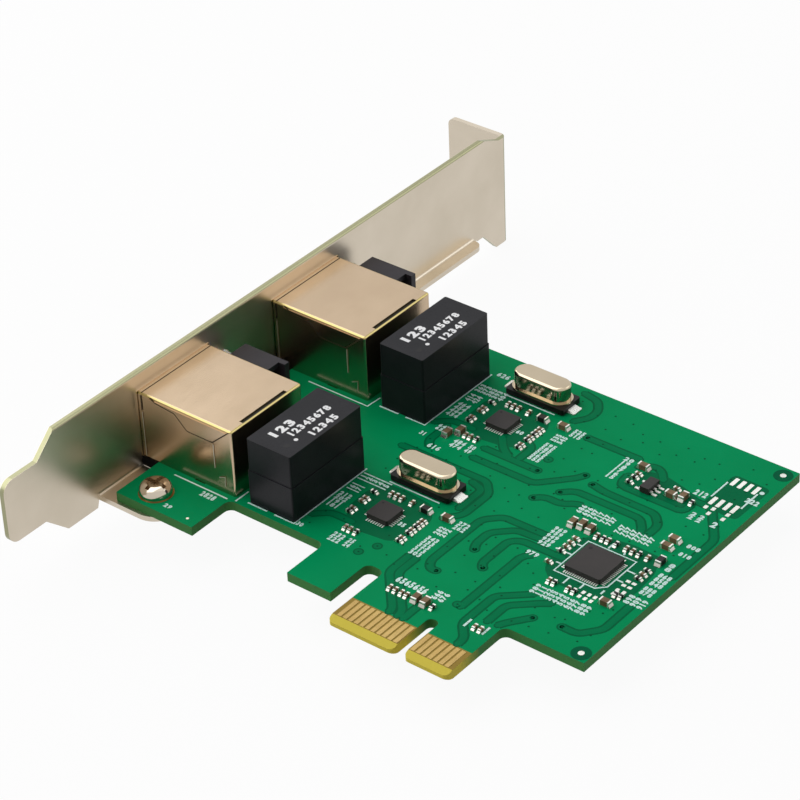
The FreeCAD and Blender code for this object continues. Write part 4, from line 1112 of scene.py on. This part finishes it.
bodies = [(low + high) / 2 for node in ("chip_capacitors", "chip_resistors")
          for low, high in solid_boxes(node)]
solder_shape = bmesh.new()
for low, high in end_boxes:
    centre = (low + high) / 2
    body = min(bodies, key=lambda place: (place - centre).length)
    reach = centre - body
    axis = 0 if abs(reach.x) > abs(reach.y) else 1
    side = 1 if reach[axis] > 0 else -1
    foot_low, foot_high = low.copy(), high.copy()
    other = 1 - axis
    foot_low[other] -= SOLDER_SIDE * MM
    foot_high[other] += SOLDER_SIDE * MM
    if side > 0:
        foot_low[axis] = high[axis] - SOLDER_LAP * MM
        foot_high[axis] = high[axis] + SOLDER_REACH * MM
    else:
        foot_high[axis] = low[axis] + SOLDER_LAP * MM
        foot_low[axis] = low[axis] - SOLDER_REACH * MM
    foot_low.z = SOLDER_GROUND * MM
    foot_high.z = (high.z - low.z) * SOLDER_CLIMB
    verts = add_block(solder_shape, foot_low, foot_high)
    outer = foot_high[axis] if side > 0 else foot_low[axis]
    for vert in verts:
        if abs(vert.co[axis] - outer) < SOLDER_LAP * MM and vert.co.z > foot_high.z / 2:
            vert.co.z = SOLDER_FOOT * MM
bmesh.ops.bevel(solder_shape, geom=solder_shape.edges[:], offset=SOLDER_BEVEL * MM,
                affect="EDGES", segments=1, profile=0.5, material=-1)
solder_finish = metal_finish("solder_shine", paint(214, 212, 204), paint(176, 172, 162),
                             (0.16, 0.30), 0.15, 0.006, metallic=0.85)
finished("solder_fillets", solder_shape, solder_finish)

# %% [markdown]
# ## Solder at the crystals
# A crystal lies on a flat black base, and at each end a wide strip of metal comes out and is
# soldered down. The solder lies against the strip as a broad wedge. The wedge of the small parts
# would be too sharp for its size, so this one has rounder edges and climbs up to the strip.

# %% Broad wedges of solder
CRYSTAL_SOLDER = 0.55
CRYSTAL_MARGIN = 0.3
CRYSTAL_SIDE = 0.15
CRYSTAL_GROUND = 0.002
CRYSTAL_NEAR = 0.2
CRYSTAL_COVER = 0.02
CRYSTAL_BEVEL = 0.05

crystal_solder = bmesh.new()
for node, base in (("crystal_terminals_1", "crystal_base_1"),
                   ("crystal_terminals_2", "crystal_base_2")):
    low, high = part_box(node)
    base_low, base_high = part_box(base)
    for outer, inner in ((high.x, base_high.x), (low.x, base_low.x)):
        margin = math.copysign(CRYSTAL_MARGIN * MM, inner - outer)
        start, stop = sorted((outer - margin / 2, inner + margin / 4))
        foot = Vector((start, low.y + CRYSTAL_SIDE * MM, CRYSTAL_GROUND * MM))
        peak = Vector((stop, high.y - CRYSTAL_SIDE * MM, CRYSTAL_SOLDER * MM))
        for vert in add_block(crystal_solder, foot, peak):
            at_strip = abs(vert.co.x - outer) < CRYSTAL_NEAR * MM
            if at_strip and vert.co.z > CRYSTAL_SOLDER / 2 * MM:
                vert.co.z = high.z + CRYSTAL_COVER * MM
bmesh.ops.bevel(crystal_solder, geom=crystal_solder.edges[:], offset=CRYSTAL_BEVEL * MM,
                affect="EDGES", segments=2, profile=0.5, material=-1)
finished("crystal_solder", crystal_solder, finishes["tin_plate"])

# %% [markdown]
# ## Marks on the chips
# A moulded chip has a shallow round mark at one corner, which tells where its first pin is. It
# could be cut out of the body, but it is only a tenth of a millimetre deep: a dark disc will do.

# %% Round marks
CHIP_MARKS = [("main_chip", 0.9, 0.32), ("port_chip_1", 0.6, 0.2), ("port_chip_2", 0.6, 0.2)]

chip_mark_shape = bmesh.new()
for node, inset, radius in CHIP_MARKS:
    low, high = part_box(node)
    spot = Vector((low.x + inset * MM, high.y - inset * MM, high.z))
    add_disc(chip_mark_shape, spot, radius, MARK_HEIGHT, sides=20)
finished("chip_marks", chip_mark_shape, mark_finish)

# %% [markdown]
# ## Bare pads
# Some places on the board were left without a part, so their tinned pads lie open: a row of four
# on either side for a small memory chip, and pairs for parts that this version doesn't need. The
# board's finish could show them as patches, but a thin block with rounded corners stands up a
# little, as the tin does, and its rim catches the light.

# %% Pads
PAD_TOP = 0.035
PAD_GROUND = 0.002
PAD_CORNER = 0.1
PAIR_HALF = 0.27
PAIR_LENGTH = 0.7
MEMORY_HALF = 0.33
MEMORY_LENGTH = 2.0
BARE_PADS = [
    (76.6, 31.05, 77.3, 31.6), (77.6, 31.05, 78.3, 31.6), (76.6, 29.95, 77.3, 30.5),
    (77.6, 29.95, 78.3, 30.5), (76.55, 28.5, 77.1, 29.2), (77.65, 28.5, 78.2, 29.2),
    (76.55, 27.5, 77.1, 28.2), (77.65, 27.5, 78.2, 28.2),
    (76.8, 52.2, 77.4, 53.0), (76.8, 50.9, 77.4, 51.7), (79.3, 52.2, 79.9, 53.0),
    (79.3, 50.9, 79.9, 51.7), (75.6, 52.0, 76.2, 52.8),
]
for along in (73.3, 74.3, 75.3):
    for across in (24.2, 25.25):
        BARE_PADS.append((along - PAIR_HALF, across, along + PAIR_HALF, across + PAIR_LENGTH))
for along in (75.9, 77.15, 78.4, 79.65):
    for across in (53.3, 59.0):
        BARE_PADS.append((along - MEMORY_HALF, across,
                          along + MEMORY_HALF, across + MEMORY_LENGTH))

pad_shape = bmesh.new()
for left, near, right, far in BARE_PADS:
    add_block(pad_shape, on_board(left, near, PAD_GROUND), on_board(right, far, PAD_TOP))
corners = [edge for edge in pad_shape.edges
           if abs(edge.verts[0].co.z - edge.verts[1].co.z) > PAD_TOP / 2 * MM]
bmesh.ops.bevel(pad_shape, geom=corners, offset=PAD_CORNER * MM, affect="EDGES", segments=2,
                profile=0.5, material=-1)
finished("bare_pads", pad_shape, finishes["tin_plate"])

# %% [markdown]
# ## Aiming marks, a ring and a dot
# The machine that sets the parts takes its bearings from two round spots of bare tin, each in a
# darker window where the copper is cut away. The screw's head stands on a ring of metal, and one
# printed dot shows how a part is turned. The finish of the board could carry them all, but each
# is flat and round, so one low disc makes it: many sides where it is large, few where it is small.

# %% Aiming marks
AIMING_MARKS = [(80.9, 14.5), (80.8, 65.5)]
WINDOW_RADIUS = 1.5
WINDOW_HEIGHT = 0.012
SPOT_RADIUS = 0.48
SPOT_HEIGHT = 0.02
TEST_SPOT = (16.2, 5.9)
TEST_SPOT_RADIUS = 0.24
DISC_GROUND = 0.002

mark_shape = bmesh.new()
for along, across in AIMING_MARKS:
    add_disc(mark_shape, on_board(along, across, DISC_GROUND), WINDOW_RADIUS, WINDOW_HEIGHT,
             sides=28)
finished("aiming_mark_windows", mark_shape,
         lacquer_finish("lacquer_in_windows", paint(0, 98, 64)))

spot_shape = bmesh.new()
for along, across in AIMING_MARKS:
    add_disc(spot_shape, on_board(along, across, WINDOW_HEIGHT), SPOT_RADIUS, SPOT_HEIGHT,
             sides=24)
add_disc(spot_shape, on_board(*TEST_SPOT, DISC_GROUND), TEST_SPOT_RADIUS, SPOT_HEIGHT, sides=16)
finished("aiming_marks", spot_shape, finishes["tin_plate"])

# %% Ring under the screw, and the dot
RING_RADIUS = 2.72
RING_HEIGHT = 0.025
DOT_PLACE = (80.7, 59.95)
DOT_RADIUS = 0.38
DOT_GROUND = 0.004
DOT_HEIGHT = 0.026

screw_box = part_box("bracket_screw")
screw_middle = (screw_box[0] + screw_box[1]) / 2
screw_middle.z = DISC_GROUND * MM
ring_shape = bmesh.new()
add_disc(ring_shape, screw_middle, RING_RADIUS, RING_HEIGHT, sides=40)
ring_finish = metal_finish("ring_tin", paint(150, 122, 70), paint(110, 88, 48), (0.25, 0.40),
                           0.3, 0.002)
finished("screw_ring", ring_shape, ring_finish)

dot_shape = bmesh.new()
add_disc(dot_shape, on_board(*DOT_PLACE, DOT_GROUND), DOT_RADIUS, DOT_HEIGHT, sides=16)
finished("print_dots", dot_shape, print_finish)

# %% [markdown]
# ## Underside
# The photograph doesn't show the board's other face, so it gets what such a face needs: fewer and
# straighter conductors, from the lower fingers to the chips, and the same plated holes. They are
# drawn with the same helpers on the component face, and then mirrored through the middle of the
# board, so that the order of their layers stays right by itself.

# %% Conductors on the underside
UNDER_TRACKS = [
    [(50.5, 6.2), (50.5, 12.0), (40.0, 22.5), (31.5, 22.5)],
    [(52.5, 6.2), (52.5, 13.0), (43.5, 22.0), (43.5, 38.0), (33.0, 48.5), (31.5, 48.5)],
    [(57.0, 6.2), (57.0, 20.0), (62.0, 25.0)],
    [(61.0, 6.2), (61.0, 14.0), (70.0, 23.0), (70.0, 28.0)],
    [(66.0, 6.2), (66.0, 12.0), (78.0, 24.0), (78.0, 44.0), (72.0, 50.0)],
    [(44.0, 62.0), (52.0, 62.0), (58.0, 56.0), (66.0, 56.0)],
    [(36.0, 34.0), (48.0, 34.0), (54.0, 40.0), (54.0, 47.0)],
    [(60.0, 36.0), (66.0, 42.0), (66.0, 48.0)],
]
UNDER_PADS = [(31.5, 22.5), (62.0, 25.0), (70.0, 28.0), (72.0, 50.0), (66.0, 56.0), (54.0, 47.0)]
TURN_OVER = Matrix.Translation((0, 0, -board_thickness)) @ Matrix.Diagonal((1, 1, -1, 1))


def turned_over(shape):
    bmesh.ops.transform(shape, matrix=TURN_OVER, verts=shape.verts)
    return shape


under_bands = tracks_shape(UNDER_TRACKS, UNDER_PADS, TRACK_BAND, PAD_BAND, BAND_TOP)
finished("under_track_bands", turned_over(under_bands), gap_finish)
under_cores = tracks_shape(UNDER_TRACKS, UNDER_PADS, TRACK_CORE, PAD_CORE, CORE_TOP)
finished("under_track_cores", turned_over(under_cores), core_finish)
finished("under_holes", turned_over(holes_shape()), hole_finish)

# %% [markdown]
# ## Soldered pins
# The pins of the sockets, transformers and lamps come out below the board, and each stands in a
# small cone of solder. The places could be listed, as the pads are, but a cone has to sit right on
# its pin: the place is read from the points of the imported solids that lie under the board, with
# points that are close together taken for one pin.

# %% Solder cones
CONE_FOOT = 0.78
CONE_TOP = 0.30
CONE_HEIGHT = 0.75
TAIL_STARTS = 0.3
TAIL_SPREAD = 1.1
PIN_NODES = ("transformer_pins", "jack_wires", "lamp_leads")


def tails(node):
    shape = bmesh.new()
    shape.from_mesh(nodes[node].data)
    bmesh.ops.remove_doubles(shape, verts=shape.verts, dist=SAME_POINT)
    low = [vert for vert in shape.verts if vert.co.z < -board_thickness - TAIL_STARTS * MM]
    groups = []
    for vert in sorted(low, key=lambda v: tuple(round(value, 6) for value in v.co)):
        for group in groups:
            if (group[0].xy - vert.co.xy).length < TAIL_SPREAD * MM:
                group.append(vert.co.copy())
                break
        else:
            groups.append([vert.co.copy()])
    shape.free()
    places = []
    for group in groups:
        xs = [place.x for place in group]
        ys = [place.y for place in group]
        places.append(Vector(((min(xs) + max(xs)) / 2, (min(ys) + max(ys)) / 2, 0)))
    return places


cone_shape = bmesh.new()
count = 0
for node in sorted(nodes):
    if not node.startswith(PIN_NODES):
        continue
    for place in tails(node):
        verts = bmesh.ops.create_cone(cone_shape, cap_ends=True, segments=14,
                                      radius1=CONE_TOP * MM, radius2=CONE_FOOT * MM,
                                      depth=CONE_HEIGHT * MM)["verts"]
        place.z = -board_thickness - CONE_HEIGHT / 2 * MM
        bmesh.ops.translate(cone_shape, verts=verts, vec=place)
        count += 1
print(count, "soldered pins")
finished("solder_cones", cone_shape, finishes["tin_plate"])

# %% [markdown]
# ## Measure and finish
# The last cell prints the imported box and the dressed box side by side. A piece that reaches out
# of the card would show there at once, in numbers, where an eye on a picture could miss it.

# %% Sizes
scene_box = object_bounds()
dressed_sides = [round(side / MM, 2) for side in scene_box[1] - scene_box[0]]
print("packed box", box_sides, "mm, dressed box", dressed_sides, "mm")
